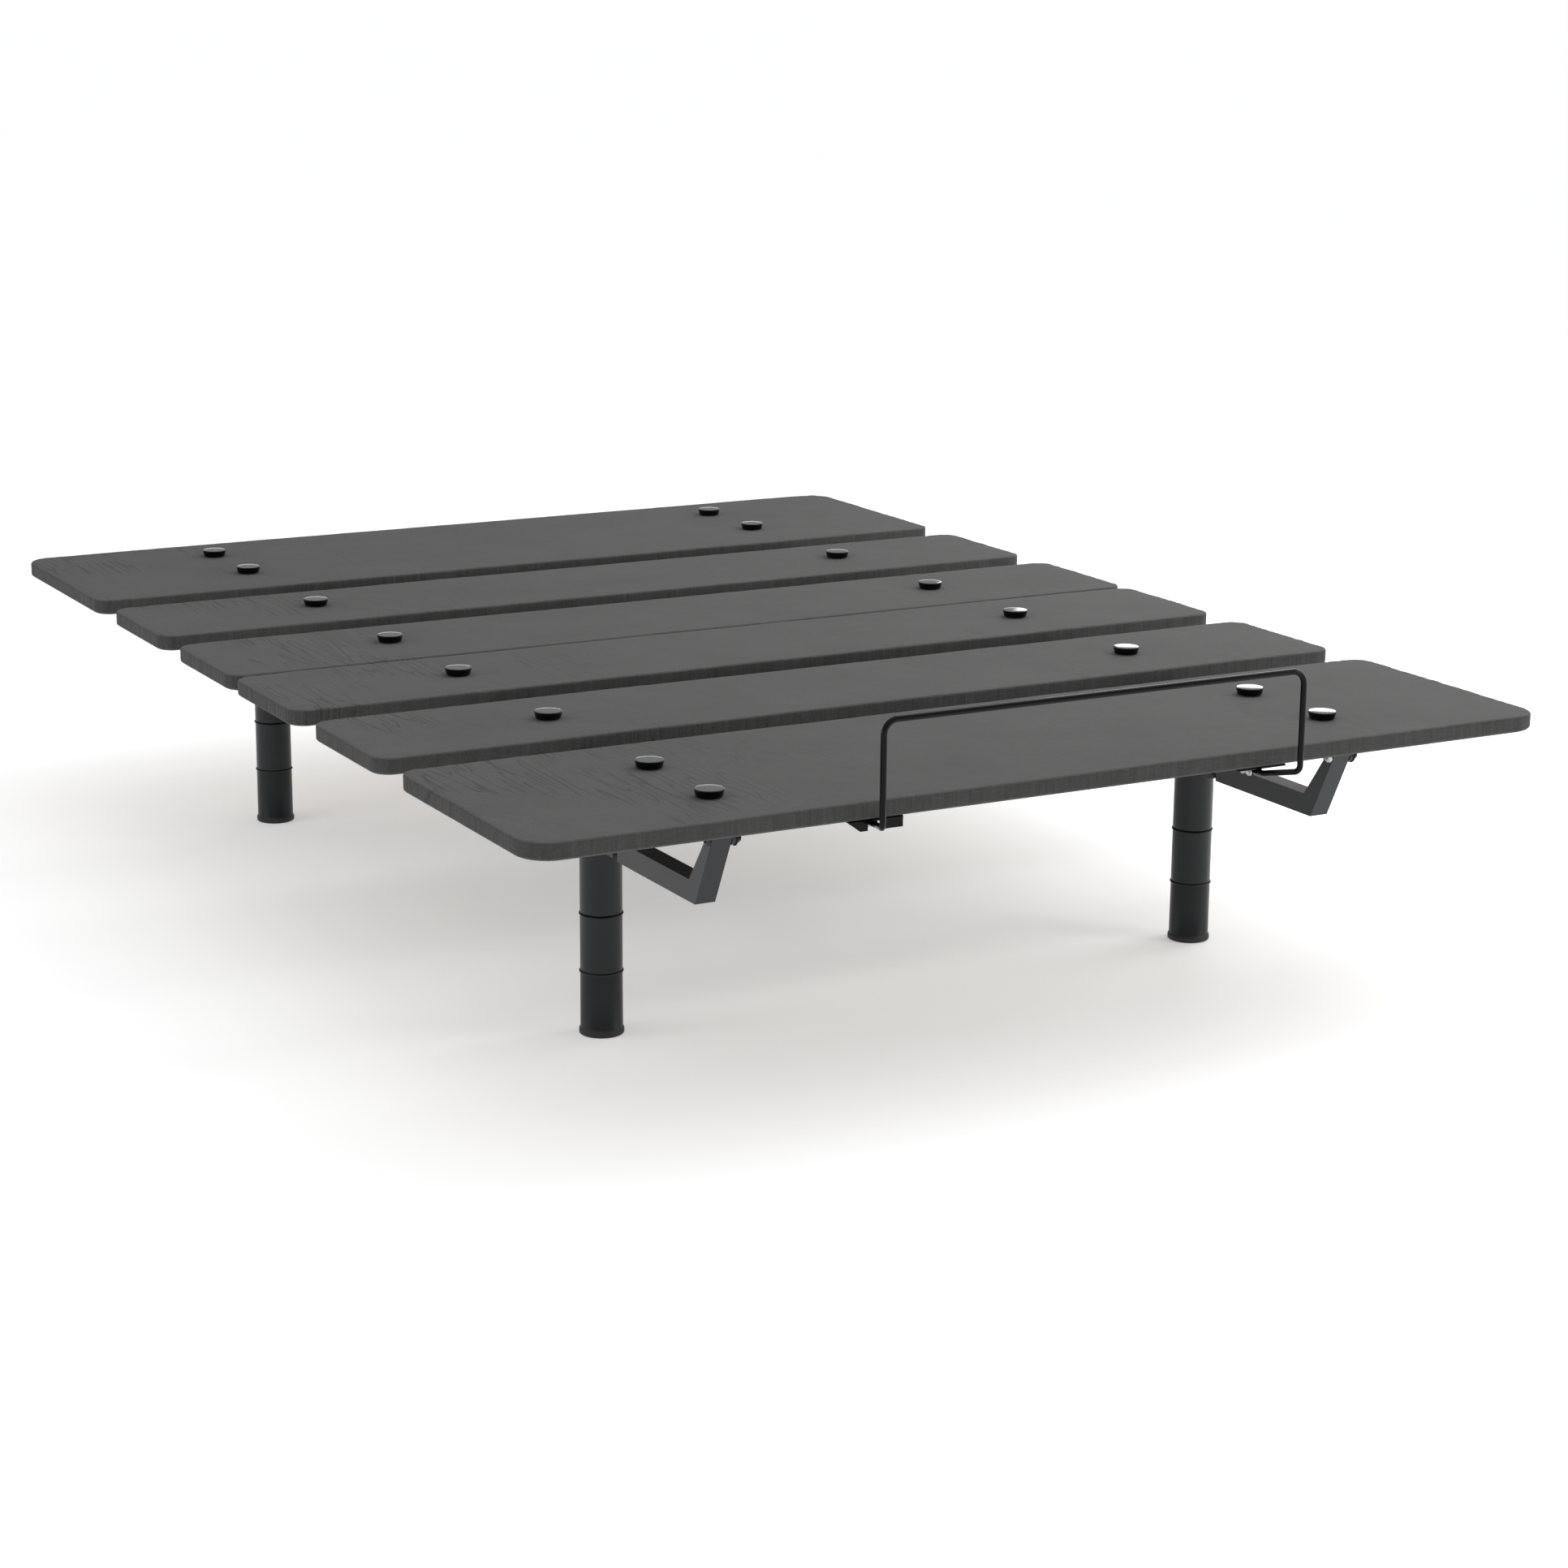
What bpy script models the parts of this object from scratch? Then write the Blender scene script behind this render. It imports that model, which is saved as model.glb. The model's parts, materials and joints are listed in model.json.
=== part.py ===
"""Queen-size adjustable bed base: six upholstered deck panels on a folding steel frame.

The back section lifts on its own. The thigh section lifts the knee, and the foot section follows it,
held at its far end by two bent swing links. Each section is driven by a linear motor under the seat.
Metres, +Z up, +X to the right-hand side, +Y to the head. The origin is on the floor, under the middle
of the whole base.
"""

import math

import bmesh
import bpy
from mathutils import Vector

# Deck (a queen base: 59.5 in by 79.5 in)
DECK_WIDTH = 1.511
DECK_LENGTH = 2.019
DECK_TOP = 0.389
PANEL_THICKNESS = 0.0245
END_PANEL_DEPTH = 0.403
MID_PANEL_DEPTH = 0.240
CENTRE_SEAM = 0.005
MID_CORNER = 0.028
FOOT_CORNER = 0.044
HEAD_CORNER = 0.045
LEAST_CORNER = 0.002
FABRIC = 0.003
HEM_WIDTH = 0.038
HEM_THICKNESS = 0.0019
CLEARANCE = 0.0003
CAP_ROWS = (0.127, 0.430, 0.734, 0.898)
CAP_RADIUS = 0.0185

# Retainer bar at the foot
RETAINER_REACH = 0.0495
ROD_RADIUS = 0.004
RETAINER_HALF_WIDTH = 0.3105
RETAINER_TOP = 0.5005
RETAINER_CORNER = 0.018
RETAINER_ANKLE = 0.010
CLAMP_X = 0.289
CLAMP_PLATE_HALF = 0.038
CLAMP_PLATE_THICKNESS = 0.0025
CLAMP_CHEEK = 0.004

# Frame and chassis
FRAME_TUBE = 0.025
FRAME_X = 0.464
INLAY = 0.0002
SEAT_FRAME_GAP = 0.0315
FOLD_FRAME_GAP = 0.0265
CROSS_INSET = 0.0435
SEAT_ROW_INSET = 0.018
POST_OVERLAP = 0.004
BACK_FRAME_OVERHANG = 0.032
FOOT_CROSS_Y = -0.8935
RAIL_TUBE = 0.0285
RAIL_X = 0.468
RAIL_NOSE = 0.012
RAIL_TAIL = 0.036
RAIL_SLOT_DEPTH = 0.022
RAIL_SLOT_FLOOR = 0.0025
RAIL_BOTTOM = 0.2525
CHASSIS_SHIFT = 0.010
CROSSBAR_REACH = 0.400
LEG_X = 0.470
LEG_REACH = 0.613
LEG_RADIUS = 0.028
LEG_JOINTS = (0.088, 0.1665)
LEG_BEAD = 0.0016

# Hinges and links
HINGE_Z = 0.3517
EAR_RADIUS = 0.012
EAR_THICKNESS = 0.005
TONGUE_HALF = 0.005
EAR_SLACK = 0.0006
TONGUE_SLACK = 0.001
CUT_MARGIN = 0.01
EAR_OVERLAP = 0.005
LINK_PIVOT = (-0.652, 0.267)
LINK_PIN = (-0.9305, 0.343)
LINK_LEAN = math.radians(29.5)
LINK_VERTEX = -0.8955
LINK_HALF = 0.014
LINK_FOOT_GAP = 0.024
LINK_TONGUE_HALF = 0.006
LINK_TONGUE_RADIUS = 0.0105
LINK_TONGUE_REACH = 0.034
LINK_LUG = 0.006
LINK_LUG_RADIUS = 0.0095
LINK_LUG_ROOT = 0.004
LUG_BAR_MARGIN = 0.003

# Motors and slotted levers
LEVER_DROP = 0.118
BACK_SWEEP = math.radians(60.0)
THIGH_SWEEP = math.radians(35.0)
MOTOR_X = 0.070
MOTOR_HALF = 0.020
MOTOR_TAIL = 0.060
LUG_PLATE = 0.005
LEVER_HALF = 0.004
LEVER_SLOT = 0.008
LEVER_WALL = 0.008
LEVER_SLACK = 0.0025
PUSH_ROD_RADIUS = 0.010
MOTOR_BORE_RADIUS = 0.0115
ROD_LENGTH = 0.250
ROD_TIP_PIN = 0.005
FORK_REACH = 0.032
FORK_HALF = 0.0105
TUBE_FRONT = 0.058
TUBE_BACK = 0.020
TUBE_EDGE = 0.004
GEARBOX_SIDE = 0.078
GEARBOX_SPAN = (0.026, 0.070)
GEARBOX_DROP = 0.004
MOTOR_CAN_X = 0.049
MOTOR_CAN_RADIUS = 0.025
MOTOR_CAN_SPAN = (0.066, 0.190)
TAIL_RADIUS = 0.011
TAIL_DEPTH = 0.024

# Control box under the seat
CONTROL_BOX_X = (-0.330, -0.130)
CONTROL_BOX_Y = (0.040, 0.170)
CONTROL_BOX_DROP = 0.050
CONTROL_BOX_EDGE = 0.006
INLET_HALF = 0.014
INLET_DEPTH = 0.018
INLET_HEIGHTS = (0.012, 0.032)

DECK_MIDDLE_Y = RETAINER_REACH / 2
DECK_UNDERSIDE = DECK_TOP - PANEL_THICKNESS
FRAME_TOP = DECK_UNDERSIDE - CLEARANCE
FRAME_BOTTOM = FRAME_TOP - FRAME_TUBE
RAIL_TOP = RAIL_BOTTOM + RAIL_TUBE
PANEL_GAP = (DECK_LENGTH - 2 * END_PANEL_DEPTH - 4 * MID_PANEL_DEPTH - CENTRE_SEAM) / 4
SECTION_HINGE_Y = CENTRE_SEAM / 2 + MID_PANEL_DEPTH + PANEL_GAP / 2
KNEE_HINGE_Y = SECTION_HINGE_Y + MID_PANEL_DEPTH + PANEL_GAP
END_PANEL_Y = DECK_LENGTH / 2 - END_PANEL_DEPTH
FOOT_EDGE_Y = -DECK_LENGTH / 2
HALF_TUBE = FRAME_TUBE / 2
MOTOR_Z = HINGE_Z - LEVER_DROP
ROD_SEAT_Z = DECK_UNDERSIDE - 0.0085
RETAINER_Y = FOOT_EDGE_Y - RETAINER_REACH + ROD_RADIUS

MATERIALS = {}
COLOURS = {
    "fabric": ((0.045, 0.046, 0.045), 0.95, 0.0),
    "board": ((0.32, 0.24, 0.15), 0.8, 0.0),
    "cap": ((0.012, 0.012, 0.013), 0.15, 0.0),
    "frame": ((0.055, 0.060, 0.064), 0.45, 0.3),
    "leg": ((0.030, 0.034, 0.038), 0.5, 0.0),
    "rod": ((0.010, 0.010, 0.012), 0.25, 0.3),
    "steel": ((0.55, 0.56, 0.58), 0.3, 1.0),
    "housing": ((0.02, 0.02, 0.022), 0.55, 0.0),
}


# ---------------------------------------------------------------- scene helpers

def clear_scene():
    for item in list(bpy.data.objects):
        bpy.data.objects.remove(item, do_unlink=True)


def make_material(name):
    colour, roughness, metallic = COLOURS[name]
    material = bpy.data.materials.new(name)
    material.use_nodes = True
    shader = material.node_tree.nodes["Principled BSDF"]
    shader.inputs["Base Color"].default_value = (*colour, 1.0)
    shader.inputs["Roughness"].default_value = roughness
    shader.inputs["Metallic"].default_value = metallic
    return material


class Body:
    """A rigid body: an empty on its joint's axis, which its parts are parented to."""

    def __init__(self, name, pivot, parent=None):
        self.pivot = Vector(pivot)
        self.empty = bpy.data.objects.new(name, None)
        bpy.context.scene.collection.objects.link(self.empty)
        self.empty.location = self.pivot
        if parent:
            self.empty.parent = parent.empty
            self.empty.location = self.pivot - parent.pivot

    def add(self, name, shape, slot, smooth=False):
        """Turns a bmesh drawn in deck coordinates into a part of this body."""
        bmesh.ops.translate(shape, verts=shape.verts, vec=-self.pivot)
        bmesh.ops.recalc_face_normals(shape, faces=shape.faces)
        mesh = bpy.data.meshes.new(name)
        shape.to_mesh(mesh)
        shape.free()
        if smooth:
            mesh.shade_smooth()
            mesh.set_sharp_from_angle(angle=math.radians(35))
        part = bpy.data.objects.new(name, mesh)
        bpy.context.scene.collection.objects.link(part)
        part.data.materials.append(MATERIALS[slot])
        part.parent = self.empty
        return part


# ---------------------------------------------------------------- solids

def bridge_rings(shape, rings):
    """Skins rings of equal point counts into one surface and closes its ends."""
    loops = [[shape.verts.new(point) for point in ring] for ring in rings]
    count = len(loops[0])
    for lower, upper in zip(loops, loops[1:]):
        for i in range(count):
            j = (i + 1) % count
            shape.faces.new((lower[i], lower[j], upper[j], upper[i]))
    shape.faces.new(list(reversed(loops[0])))
    shape.faces.new(loops[-1])
    return shape


def box(x, y, z):
    """A box from its (low, high) pair on each axis."""
    corners = [(x[0], y[0]), (x[1], y[0]), (x[1], y[1]), (x[0], y[1])]
    return bridge_rings(bmesh.new(), [[(a, b, h) for a, b in corners] for h in z])


def tube(x, y, z, edge=0.002):
    """A bar of square tube, with its long edges rounded off."""
    shape = box(x, y, z)
    sizes = [high - low for low, high in (x, y, z)]
    along = sizes.index(max(sizes))
    long_edges = [e for e in shape.edges if abs((e.verts[0].co - e.verts[1].co)[along]) > 1e-6]
    bmesh.ops.bevel(shape, geom=long_edges, offset=edge, segments=1, affect="EDGES")
    return shape


def prism_x(outline, x):
    """Extrudes a (y, z) outline along X."""
    return bridge_rings(bmesh.new(), [[(side, y, z) for y, z in outline] for side in x])


def arc(centre, radius, start, end, steps):
    """Points on an arc in a plane, with angles in degrees."""
    angles = [math.radians(start + (end - start) * i / steps) for i in range(steps + 1)]
    return [(centre[0] + radius * math.cos(a), centre[1] + radius * math.sin(a)) for a in angles]


def disc_x(centre, radius, x, sides=20):
    """A round bar along X."""
    return prism_x(arc(centre, radius, 0, 360, sides)[:-1], x)


def round_bar_y(x, z, radius, y, sides=16):
    """A round bar along Y."""
    ring = arc((x, z), radius, 0, 360, sides)[:-1]
    return bridge_rings(bmesh.new(), [[(a, side, b) for a, b in ring] for side in y])


def turned(profile, centre, sides):
    """Turns a (radius, height) profile about a vertical axis."""
    rings = []
    for radius, height in profile:
        ring = arc(centre, radius, 0, 360, sides)[:-1]
        rings.append([(x, y, height) for x, y in ring])
    return bridge_rings(bmesh.new(), rings)


def temporary(shape):
    bmesh.ops.recalc_face_normals(shape, faces=shape.faces)
    mesh = bpy.data.meshes.new("solid")
    shape.to_mesh(mesh)
    shape.free()
    holder = bpy.data.objects.new("solid", mesh)
    bpy.context.scene.collection.objects.link(holder)
    return holder


def combine(first, others, operation="UNION"):
    """Joins solids to the first one, or cuts them from it, and returns one solid."""
    base = temporary(first)
    for other in others:
        tool = temporary(other)
        step = base.modifiers.new(operation, "BOOLEAN")
        step.operation = operation
        step.solver = "EXACT"
        step.object = tool
    evaluated = base.evaluated_get(bpy.context.evaluated_depsgraph_get())
    result = bmesh.new()
    result.from_mesh(evaluated.to_mesh())
    evaluated.to_mesh_clear()
    for step in base.modifiers:
        bpy.data.objects.remove(step.object, do_unlink=True)
    bpy.data.objects.remove(base, do_unlink=True)
    bmesh.ops.remove_doubles(result, verts=result.verts, dist=1e-6)
    return result


# ---------------------------------------------------------------- deck panels

def rounded_outline(x, y, radii, inset, steps=5):
    """A rectangle with round corners, given in the order near-left, near-right, far-right, far-left."""
    low_x, high_x = x[0] + inset, x[1] - inset
    low_y, high_y = y[0] + inset, y[1] - inset
    corners = ((low_x, low_y, 180), (high_x, low_y, 270), (high_x, high_y, 0), (low_x, high_y, 90))
    points = []
    for (corner_x, corner_y, start), corner_radius in zip(corners, radii):
        radius = max(corner_radius - inset, LEAST_CORNER)
        toward_x = 1 if corner_x == low_x else -1
        toward_y = 1 if corner_y == low_y else -1
        centre = (corner_x + toward_x * radius, corner_y + toward_y * radius)
        points += arc(centre, radius, start, start + 90, steps)
    return points


def panel_cover(y, radii):
    """A fabric sleeve wrapped over a board and turned in under its edge."""
    section = (
        (0.0050, DECK_TOP),
        (0.0015, DECK_TOP - 0.0015),
        (0.0, DECK_TOP - 0.005),
        (0.0, DECK_UNDERSIDE + 0.0035),
        (0.0015, DECK_UNDERSIDE + 0.0008),
        (0.0040, DECK_UNDERSIDE),
        (HEM_WIDTH, DECK_UNDERSIDE),
        (HEM_WIDTH, DECK_UNDERSIDE + HEM_THICKNESS),
        (FABRIC, DECK_UNDERSIDE + HEM_THICKNESS),
        (FABRIC, DECK_TOP - FABRIC),
    )
    x = (-DECK_WIDTH / 2, DECK_WIDTH / 2)
    rings = []
    for inset, height in section:
        outline = rounded_outline(x, y, radii, inset)
        rings.append([(a, b, height) for a, b in outline])
    return bridge_rings(bmesh.new(), rings)


def panel_board(y, radii):
    x = (-DECK_WIDTH / 2, DECK_WIDTH / 2)
    outline = rounded_outline(x, y, radii, FABRIC + CLEARANCE)
    heights = (DECK_UNDERSIDE + HEM_THICKNESS + CLEARANCE, DECK_TOP - FABRIC - CLEARANCE)
    return bridge_rings(bmesh.new(), [[(a, b, h) for a, b in outline] for h in heights])


def panel_layout():
    """Each panel's name, body, extent in Y and corner radii."""
    near = CENTRE_SEAM / 2
    seat = (near, near + MID_PANEL_DEPTH)
    middle = (seat[1] + PANEL_GAP, seat[1] + PANEL_GAP + MID_PANEL_DEPTH)
    end = (END_PANEL_Y, DECK_LENGTH / 2)
    even = (MID_CORNER,) * 4
    return [
        ("head", "back_section", end, (MID_CORNER,) * 2 + (HEAD_CORNER,) * 2),
        ("back", "back_section", middle, even),
        ("seat_rear", "base", seat, even),
        ("seat_front", "base", (-seat[1], -seat[0]), even),
        ("thigh", "thigh_section", (-middle[1], -middle[0]), even),
        ("foot", "foot_section", (-end[1], -end[0]), (FOOT_CORNER,) * 2 + (MID_CORNER,) * 2),
    ]


def add_panels(bodies):
    for name, body, y, radii in panel_layout():
        bodies[body].add(f"deck_cover_{name}", panel_cover(y, radii), "fabric", smooth=True)
        bodies[body].add(f"deck_board_{name}", panel_board(y, radii), "board")


def add_caps(bodies):
    """Round caps over the bolts that hold the panels to the frames."""
    floor = DECK_TOP + CLEARANCE
    profile = (
        (CAP_RADIUS - 0.0015, floor),
        (CAP_RADIUS, floor + 0.0075),
        (CAP_RADIUS - 0.0015, floor + 0.009),
        (CAP_RADIUS / 2, floor + 0.0106),
        (0.0006, floor + 0.011),
    )
    head_bodies = ("base", "back_section", "back_section", "back_section")
    foot_bodies = ("base", "thigh_section", "foot_section", "foot_section")
    number = 1
    for end, names in ((1, head_bodies), (-1, foot_bodies)):
        for row, body in zip(CAP_ROWS, names):
            for side in (-1, 1):
                cap = turned(profile, (side * FRAME_X, end * row), 16)
                bodies[body].add(f"bolt_cap_{number:02d}", cap, "cap", smooth=True)
                number += 1


# ---------------------------------------------------------------- frames

def hinge_tongue(hinge_y, inner_y, side):
    """A flat tongue on a tube's end, round about the hinge's axis."""
    x = (side * FRAME_X - TONGUE_HALF, side * FRAME_X + TONGUE_HALF)
    y = (min(hinge_y, inner_y), max(hinge_y, inner_y))
    plate = box(x, y, (HINGE_Z - EAR_RADIUS, HINGE_Z + EAR_RADIUS))
    return [plate, disc_x((hinge_y, HINGE_Z), EAR_RADIUS, x)]


def hinge_clevis(hinge_y, inner_y, side):
    """Two ears on a tube's end, one on each side of the tongue."""
    gap = TONGUE_HALF + EAR_SLACK
    solids = []
    for low in (-gap - EAR_THICKNESS, gap):
        x = (side * FRAME_X + low, side * FRAME_X + low + EAR_THICKNESS)
        y = (min(hinge_y, inner_y), max(hinge_y, inner_y))
        solids.append(box(x, y, (HINGE_Z - EAR_RADIUS, HINGE_Z + EAR_RADIUS)))
        solids.append(disc_x((hinge_y, HINGE_Z), EAR_RADIUS, x))
    return solids


def ladder(y, cross_rows):
    """Two side tubes and the cross tubes that join them."""
    height = (FRAME_BOTTOM, FRAME_TOP)
    sides = [tube((s * FRAME_X - HALF_TUBE, s * FRAME_X + HALF_TUBE), y, height) for s in (-1, 1)]
    inner = (FRAME_BOTTOM + INLAY, FRAME_TOP - INLAY)
    rows = []
    for row in cross_rows:
        rows.append(tube((-FRAME_X, FRAME_X), (row - HALF_TUBE, row + HALF_TUBE), inner))
    return sides + rows


def seat_frame():
    """The fixed middle frame: hinge tongues at its corners, and four posts down to the rails."""
    end = SECTION_HINGE_Y - SEAT_FRAME_GAP
    row = end - SEAT_ROW_INSET
    solids = ladder((-end, end), (-row, row))
    for side in (-1, 1):
        for direction in (-1, 1):
            hinge = direction * SECTION_HINGE_Y
            solids += hinge_tongue(hinge, direction * (end - EAR_OVERLAP), side)
            half = HALF_TUBE - INLAY
            post_x = (side * FRAME_X - half, side * FRAME_X + half)
            post_y = (direction * row - HALF_TUBE, direction * row + HALF_TUBE)
            post = tube(post_x, post_y, (RAIL_TOP + CLEARANCE, FRAME_BOTTOM + POST_OVERLAP))
            solids.append(post)
    return combine(solids[0], solids[1:])


def back_frame():
    start = SECTION_HINGE_Y + FOLD_FRAME_GAP
    end = CAP_ROWS[3] + BACK_FRAME_OVERHANG
    rows = (SECTION_HINGE_Y + CROSS_INSET, KNEE_HINGE_Y, end - HALF_TUBE - INLAY)
    solids = ladder((start, end), rows)
    for side in (-1, 1):
        solids += hinge_clevis(SECTION_HINGE_Y, start + EAR_OVERLAP, side)
    return combine(solids[0], solids[1:])


def thigh_frame():
    start = SECTION_HINGE_Y + FOLD_FRAME_GAP
    end = KNEE_HINGE_Y - FOLD_FRAME_GAP
    rows = (-SECTION_HINGE_Y - CROSS_INSET, -KNEE_HINGE_Y + CROSS_INSET)
    solids = ladder((-end, -start), rows)
    for side in (-1, 1):
        solids += hinge_clevis(-SECTION_HINGE_Y, -start - EAR_OVERLAP, side)
        solids += hinge_clevis(-KNEE_HINGE_Y, -end + EAR_OVERLAP, side)
    return combine(solids[0], solids[1:])


def foot_frame():
    """The foot section's frame, with a lug beside the top of each swing link."""
    start = KNEE_HINGE_Y + FOLD_FRAME_GAP
    end = -FOOT_CROSS_Y + HALF_TUBE
    rows = (-KNEE_HINGE_Y - CROSS_INSET, -(KNEE_HINGE_Y - FOOT_CROSS_Y) / 2)
    solids = ladder((-end, -start), rows)
    inner = (FRAME_BOTTOM + INLAY, FRAME_TOP - INLAY)
    last = (FOOT_CROSS_Y - HALF_TUBE + INLAY, FOOT_CROSS_Y + HALF_TUBE)
    solids.append(tube((-RAIL_X - LINK_HALF, RAIL_X + LINK_HALF + LINK_LUG + LUG_BAR_MARGIN), last, inner))
    for side in (-1, 1):
        solids += hinge_tongue(-KNEE_HINGE_Y, -start - EAR_OVERLAP, side)
        lug = side * RAIL_X + LINK_HALF + EAR_SLACK
        root = FOOT_CROSS_Y + LINK_LUG_ROOT
        outline = [(root, FRAME_TOP - 0.0015), (root, FRAME_BOTTOM + 0.001)]
        outline += arc(LINK_PIN, LINK_LUG_RADIUS, 270, 90, 8)
        solids.append(prism_x(outline[::-1], (lug, lug + LINK_LUG)))
    return combine(solids[0], solids[1:])


def swing_link():
    """A bent square tube, drawn about x = 0, with a tongue for the rail and a round top for the lug."""
    foot_y = LINK_PIVOT[0] - LINK_FOOT_GAP
    lean = math.tan(LINK_LEAN)
    slant = RAIL_TUBE / math.cos(LINK_LEAN)
    radius = RAIL_TUBE / 2
    inner_vertex = LINK_VERTEX + slant - RAIL_TUBE * lean
    top = arc(LINK_PIN, radius, 180 - math.degrees(LINK_LEAN), -math.degrees(LINK_LEAN), 8)
    outline = [(foot_y, RAIL_BOTTOM), (foot_y, RAIL_TOP), (inner_vertex, RAIL_TOP)]
    outline += top[::-1]
    outline.append((LINK_VERTEX, RAIL_BOTTOM))
    return prism_x(outline, (-LINK_HALF, LINK_HALF))


def link_solid(side):
    """A swing link with the tongue that its rail holds, moved to its own side."""
    shape = swing_link()
    x = (-LINK_TONGUE_HALF, LINK_TONGUE_HALF)
    pivot_y, pivot_z = LINK_PIVOT
    height = (pivot_z - LINK_TONGUE_RADIUS, pivot_z + LINK_TONGUE_RADIUS)
    plate = box(x, (pivot_y - LINK_TONGUE_REACH, pivot_y), height)
    shape = combine(shape, [plate, disc_x(LINK_PIVOT, LINK_TONGUE_RADIUS, x)])
    bmesh.ops.translate(shape, verts=shape.verts, vec=(side * RAIL_X, 0, 0))
    return shape


def side_rail(side):
    """A chassis rail, slotted at its foot end to hold a swing link's tongue."""
    half = RAIL_TUBE / 2
    x = (side * RAIL_X - half, side * RAIL_X + half)
    foot = LINK_PIVOT[0] - RAIL_NOSE
    bar = tube(x, (foot, CHASSIS_SHIFT + LEG_REACH + RAIL_TAIL), (RAIL_BOTTOM, RAIL_TOP))
    slot_half = LINK_TONGUE_HALF + TONGUE_SLACK
    slot_x = (side * RAIL_X - slot_half, side * RAIL_X + slot_half)
    slot_y = (foot - CUT_MARGIN, LINK_PIVOT[0] + RAIL_SLOT_DEPTH)
    slot = box(slot_x, slot_y, (RAIL_BOTTOM + RAIL_SLOT_FLOOR, RAIL_TOP + CUT_MARGIN))
    return combine(bar, [slot], "DIFFERENCE")


def crossbar(end):
    """A chassis cross tube with the two lugs that hold a motor's tail."""
    y = CHASSIS_SHIFT + end * CROSSBAR_REACH
    inner = RAIL_X - RAIL_TUBE / 2 - CLEARANCE
    half = RAIL_TUBE / 2
    solids = [tube((-inner, inner), (y - half, y + half), (RAIL_BOTTOM, RAIL_TOP))]
    motor_x = -end * MOTOR_X
    pin_y = y - end * MOTOR_TAIL
    outline = [(y - end * 0.004, RAIL_TOP - 0.006), (y + end * 0.010, RAIL_BOTTOM + 0.004)]
    outline += [(y + end * 0.008, RAIL_BOTTOM - 0.006)]
    outline += arc((pin_y, MOTOR_Z), 0.012, 270, 270 - end * 180, 8)
    for low in (-MOTOR_HALF - EAR_SLACK - LUG_PLATE, MOTOR_HALF + EAR_SLACK):
        solids.append(prism_x(outline, (motor_x + low, motor_x + low + LUG_PLATE)))
    return combine(solids[0], solids[1:])


# ---------------------------------------------------------------- motors and levers

def lever(end, sweep):
    """A slotted lever under a section's first cross tube; its slot points at the section's hinge."""
    half = sweep / 2
    far = LEVER_DROP / math.cos(half) + LEVER_SLACK
    near = LEVER_DROP - LEVER_SLACK
    down = Vector((-math.sin(half), -math.cos(half)))
    across = Vector((math.cos(half), -math.sin(half)))
    hinge = Vector((SECTION_HINGE_Y, HINGE_Z))
    boss = LEVER_SLOT + LEVER_WALL
    turn = -math.degrees(half)

    def stadium(start, stop, radius):
        """A slot-shaped outline along the lever, from one arc centre to the other."""
        first = hinge + down * start
        last = hinge + down * stop
        points = arc(last, radius, turn - 180, turn, 10)
        return points + arc(first, radius, turn, turn + 180, 10)

    foot = SECTION_HINGE_Y + CROSS_INSET
    flange_top = FRAME_BOTTOM - CLEARANCE
    flange = box((-0.028, 0.028), (foot - HALF_TUBE, foot + HALF_TUBE), (flange_top - 0.005, flange_top))
    root = hinge + down * near
    web = [tuple(root - across * boss), tuple(root + across * boss)]
    web_half = HALF_TUBE - 0.001
    web += [(foot + web_half, flange_top - 0.003), (foot - web_half, flange_top - 0.003)]
    x = (-LEVER_HALF, LEVER_HALF)
    solid = combine(prism_x(stadium(near, far, boss), x), [prism_x(web, x), flange])
    slot = prism_x(stadium(near, far, LEVER_SLOT), (-0.01, 0.01))
    solid = combine(solid, [slot], "DIFFERENCE")
    for vert in solid.verts:
        vert.co.x += end * MOTOR_X
        vert.co.y *= end
    return solid


def lever_pin_y(sweep):
    return SECTION_HINGE_Y - LEVER_DROP * math.tan(sweep / 2)


def place(solid, end):
    """Moves a solid drawn about x = 0 for the head end to its own end and side."""
    for vert in solid.verts:
        vert.co.x = end * (vert.co.x + MOTOR_X)
        vert.co.y *= end
    return solid


def motor_rod(end, sweep):
    """The push rod, its fork and the cross pin that rides in the lever's slot."""
    pin_y = lever_pin_y(sweep)
    neck = pin_y - FORK_REACH
    rod = round_bar_y(0, MOTOR_Z, PUSH_ROD_RADIUS, (neck - ROD_LENGTH, neck - 0.004))
    yoke_z = (MOTOR_Z - FORK_HALF - 0.0005, MOTOR_Z + FORK_HALF + 0.0005)
    solids = [box((-FORK_HALF, FORK_HALF), (neck - 0.008, neck), yoke_z)]
    gap = LEVER_HALF + 0.001
    for x in ((-FORK_HALF, -gap), (gap, FORK_HALF)):
        solids.append(box(x, (neck - 0.002, pin_y), (MOTOR_Z - FORK_HALF, MOTOR_Z + FORK_HALF)))
        solids.append(disc_x((pin_y, MOTOR_Z), FORK_HALF, x, 16))
    solids.append(disc_x((pin_y, MOTOR_Z), ROD_TIP_PIN, (-0.014, 0.014), 12))
    return place(combine(rod, solids), end)


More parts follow.
